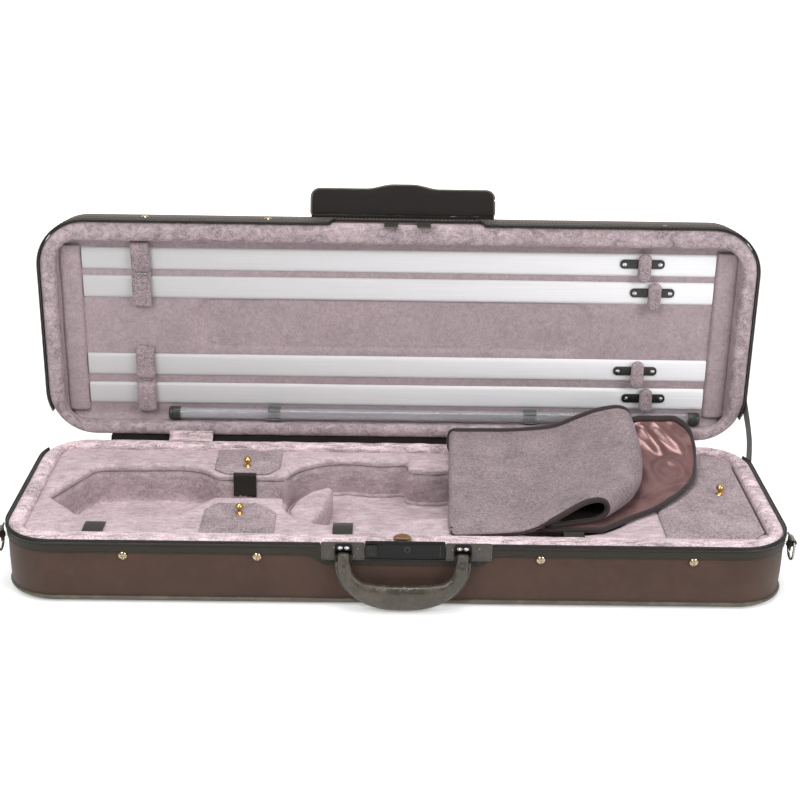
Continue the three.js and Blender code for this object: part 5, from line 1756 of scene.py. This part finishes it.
def lights():
    for name, (place, power, size) in LIGHTS.items():
        data = bpy.data.lights.new(name, "AREA")
        data.energy, data.size, data.shape = power, size, "DISK"
        lamp = bpy.data.objects.new(name, data)
        bpy.context.scene.collection.objects.link(lamp)
        aim = Vector((0, 0.05, 0.08)) - Vector(place)
        lamp.matrix_world = Matrix.Translation(place) @ aim.to_track_quat("-Z", "Y").to_matrix().to_4x4()
    world = bpy.data.worlds.new("Studio")
    world.use_nodes = True
    background = world.node_tree.nodes["Background"]
    background.inputs["Color"].default_value = (1, 1, 1, 1)
    background.inputs["Strength"].default_value = 0.36
    bpy.context.scene.world = world
    bpy.context.scene.view_settings.view_transform = "Standard"


def floor():
    """A pale sheet that runs level under the case and curves up far behind it."""
    profile = [(-6.0, 0.0), (1.2, 0.0), (3.5, 0.0)]
    profile += [(3.5 + 1.5 * math.sin(a), 1.5 - 1.5 * math.cos(a)) for a in np.linspace(0, math.pi / 2, 24)[1:]]
    profile += [(5.0, 5.0)]
    points = [(x * 1000, y * 1000, z * 1000 - 0.2) for x in (-6, 6) for y, z in profile]
    n = len(profile)
    faces = [(i, i + n, i + n + 1, i + 1) for i in range(n - 1)]
    mesh = bpy.data.meshes.new("floor")
    mesh.from_pydata((np.array(points) * MM).tolist(), [], faces)
    paint = Finish("Floor", roughness=0.9, specular_ior_level=0.1)
    paint.shader.inputs["Emission Color"].default_value = (1, 1, 1, 1)
    paint.shader.inputs["Emission Strength"].default_value = 0.3
    mottled = paint.build.node("ShaderNodeTexNoise", {"Scale": 0.8, "Detail": 1.0})
    ground = bpy.data.objects.new("floor", mesh)
    mesh.materials.append(paint.paint(paint.mix(mottled.outputs[0], (0.86, 0.86, 0.86), (0.9, 0.9, 0.9))))
    behind = Finish("Backdrop", roughness=0.9, specular_ior_level=0.1)
    behind.shader.inputs["Emission Color"].default_value = (1, 1, 1, 1)
    behind.shader.inputs["Emission Strength"].default_value = 0.8
    cloudy = behind.build.node("ShaderNodeTexNoise", {"Scale": 0.8, "Detail": 1.0})
    mesh.materials.append(behind.paint(behind.mix(cloudy.outputs[0], (0.86, 0.86, 0.86), (0.9, 0.9, 0.9))))
    for face in mesh.polygons:
        face.material_index = 1 if face.center.y > 1.0 else 0
    mesh.shade_smooth()
    bpy.context.scene.collection.objects.link(ground)


# ---- the add-on ----
class VIOLINCASE_OT_shells(Operator):
    """The two cloth-covered shells and their piping."""

    bl_idname = "violin_case.shells"
    bl_label = "Cloth shells"
    bl_options = {"REGISTER", "UNDO"}

    def execute(self, context):
        base_cover()
        lid_cover()
        case_piping()
        return {"FINISHED"}


class VIOLINCASE_OT_zipper(Operator):
    """The zipper tapes of both halves, with stitches and teeth."""

    bl_idname = "violin_case.zipper"
    bl_label = "Zipper tapes"
    bl_options = {"REGISTER", "UNDO"}

    def execute(self, context):
        zipper_tapes()
        return {"FINISHED"}


class VIOLINCASE_OT_rolls(Operator):
    """The padded roll round each half's opening."""

    bl_idname = "violin_case.rolls"
    bl_label = "Padded rolls"
    bl_options = {"REGISTER", "UNDO"}

    def execute(self, context):
        rim_rolls()
        return {"FINISHED"}


class VIOLINCASE_OT_lining(Operator):
    """The plush lining of the base, with its hollow, welts and neck cushion."""

    bl_idname = "violin_case.lining"
    bl_label = "Base lining"
    bl_options = {"REGISTER", "UNDO"}

    def execute(self, context):
        base_lining()
        suspension_pad()
        return {"FINISHED"}


class VIOLINCASE_OT_covers(Operator):
    """The three padded accessory covers with their brass knobs."""

    bl_idname = "violin_case.covers"
    bl_label = "Accessory covers"
    bl_options = {"REGISTER", "UNDO"}

    def execute(self, context):
        accessory_covers()
        return {"FINISHED"}


class VIOLINCASE_OT_straps(Operator):
    """The neck strap and the three straps under the front roll."""

    bl_idname = "violin_case.straps"
    bl_label = "Straps in the base"
    bl_options = {"REGISTER", "UNDO"}

    def execute(self, context):
        neck_strap()
        front_straps()
        return {"FINISHED"}


class VIOLINCASE_OT_blanket(Operator):
    """The quilted blanket, folded over and loosely rolled."""

    bl_idname = "violin_case.blanket"
    bl_label = "Blanket"
    bl_options = {"REGISTER", "UNDO"}

    def execute(self, context):
        blanket()
        return {"FINISHED"}


class VIOLINCASE_OT_panel(Operator):
    """The plush panel of the lid and its two end bands."""

    bl_idname = "violin_case.panel"
    bl_label = "Lid lining"
    bl_options = {"REGISTER", "UNDO"}

    def execute(self, context):
        lid_lining()
        end_bands()
        return {"FINISHED"}


class VIOLINCASE_OT_bow_holders(Operator):
    """The bow guards, the tip straps and the turn buttons on their plates."""

    bl_idname = "violin_case.bow_holders"
    bl_label = "Bow holders"
    bl_options = {"REGISTER", "UNDO"}

    def execute(self, context):
        bow_guards()
        tip_straps()
        turn_buttons()
        return {"FINISHED"}


class VIOLINCASE_OT_tube(Operator):
    """The clear string tube with its end caps and clips."""

    bl_idname = "violin_case.tube"
    bl_label = "String tube"
    bl_options = {"REGISTER", "UNDO"}

    def execute(self, context):
        string_tube()
        return {"FINISHED"}


class VIOLINCASE_OT_lock(Operator):
    """The lock, its vinyl facing, its slide and the leather thumb tab."""

    bl_idname = "violin_case.lock"
    bl_label = "Lock"
    bl_options = {"REGISTER", "UNDO"}

    def execute(self, context):
        lock()
        lock_facing()
        thumb_tab()
        return {"FINISHED"}


class VIOLINCASE_OT_handle(Operator):
    """The leather handle and its riveted brackets."""

    bl_idname = "violin_case.handle"
    bl_label = "Handle"
    bl_options = {"REGISTER", "UNDO"}

    def execute(self, context):
        handle()
        handle_brackets()
        return {"FINISHED"}


class VIOLINCASE_OT_fittings(Operator):
    """Cover screws, lid studs, carrying rings and hinges."""

    bl_idname = "violin_case.fittings"
    bl_label = "Screws, rings and hinges"
    bl_options = {"REGISTER", "UNDO"}

    def execute(self, context):
        cover_screws()
        lid_studs()
        carrying_rings()
        hinges()
        return {"FINISHED"}


class VIOLINCASE_OT_joining_cloth(Operator):
    """The rear strip, the hinge patches and the tape at the right end."""

    bl_idname = "violin_case.joining_cloth"
    bl_label = "Cloth at the hinge line"
    bl_options = {"REGISTER", "UNDO"}

    def execute(self, context):
        rear_strip()
        hinge_patches()
        zipper_tail()
        return {"FINISHED"}


class VIOLINCASE_OT_flap(Operator):
    """The padded flap that folds over the lock."""

    bl_idname = "violin_case.flap"
    bl_label = "Lock flap"
    bl_options = {"REGISTER", "UNDO"}

    def execute(self, context):
        flap()
        return {"FINISHED"}


class VIOLINCASE_OT_stage(Operator):
    """The camera, the lights, the plain surroundings and the floor."""

    bl_idname = "violin_case.stage"
    bl_label = "Stage"
    bl_options = {"REGISTER", "UNDO"}

    def execute(self, context):
        camera()
        lights()
        floor()
        return {"FINISHED"}


OPERATORS = (
    VIOLINCASE_OT_shells,
    VIOLINCASE_OT_zipper,
    VIOLINCASE_OT_rolls,
    VIOLINCASE_OT_lining,
    VIOLINCASE_OT_covers,
    VIOLINCASE_OT_straps,
    VIOLINCASE_OT_blanket,
    VIOLINCASE_OT_panel,
    VIOLINCASE_OT_bow_holders,
    VIOLINCASE_OT_tube,
    VIOLINCASE_OT_lock,
    VIOLINCASE_OT_handle,
    VIOLINCASE_OT_fittings,
    VIOLINCASE_OT_joining_cloth,
    VIOLINCASE_OT_flap,
    VIOLINCASE_OT_stage,
)


class VIOLINCASE_PT_panel(Panel):
    """Sizes, colours and one button for each group of pieces."""

    bl_label = "Violin Case"
    bl_idname = "VIOLINCASE_PT_panel"
    bl_space_type = "VIEW_3D"
    bl_region_type = "UI"
    bl_category = "Violin Case"

    def draw(self, context):
        for settings in (context.scene.violin_case_sizes, context.scene.violin_case_colours):
            box = self.layout.box()
            for name in settings.bl_rna.properties.keys():
                if name not in {"rna_type", "name"}:
                    box.prop(settings, name)
        for operator in OPERATORS:
            self.layout.operator(operator.bl_idname)


CLASSES = (CaseSizes, CaseColours, *OPERATORS, VIOLINCASE_PT_panel)


def register():
    for cls in CLASSES:
        bpy.utils.register_class(cls)
    bpy.types.Scene.violin_case_sizes = PointerProperty(type=CaseSizes)
    bpy.types.Scene.violin_case_colours = PointerProperty(type=CaseColours)


def unregister():
    del bpy.types.Scene.violin_case_colours
    del bpy.types.Scene.violin_case_sizes
    for cls in reversed(CLASSES):
        bpy.utils.unregister_class(cls)


def main():
    register()
    for operator in OPERATORS:
        group, name = operator.bl_idname.split(".")
        getattr(getattr(bpy.ops, group), name)()


if __name__ == "__main__":
    main()
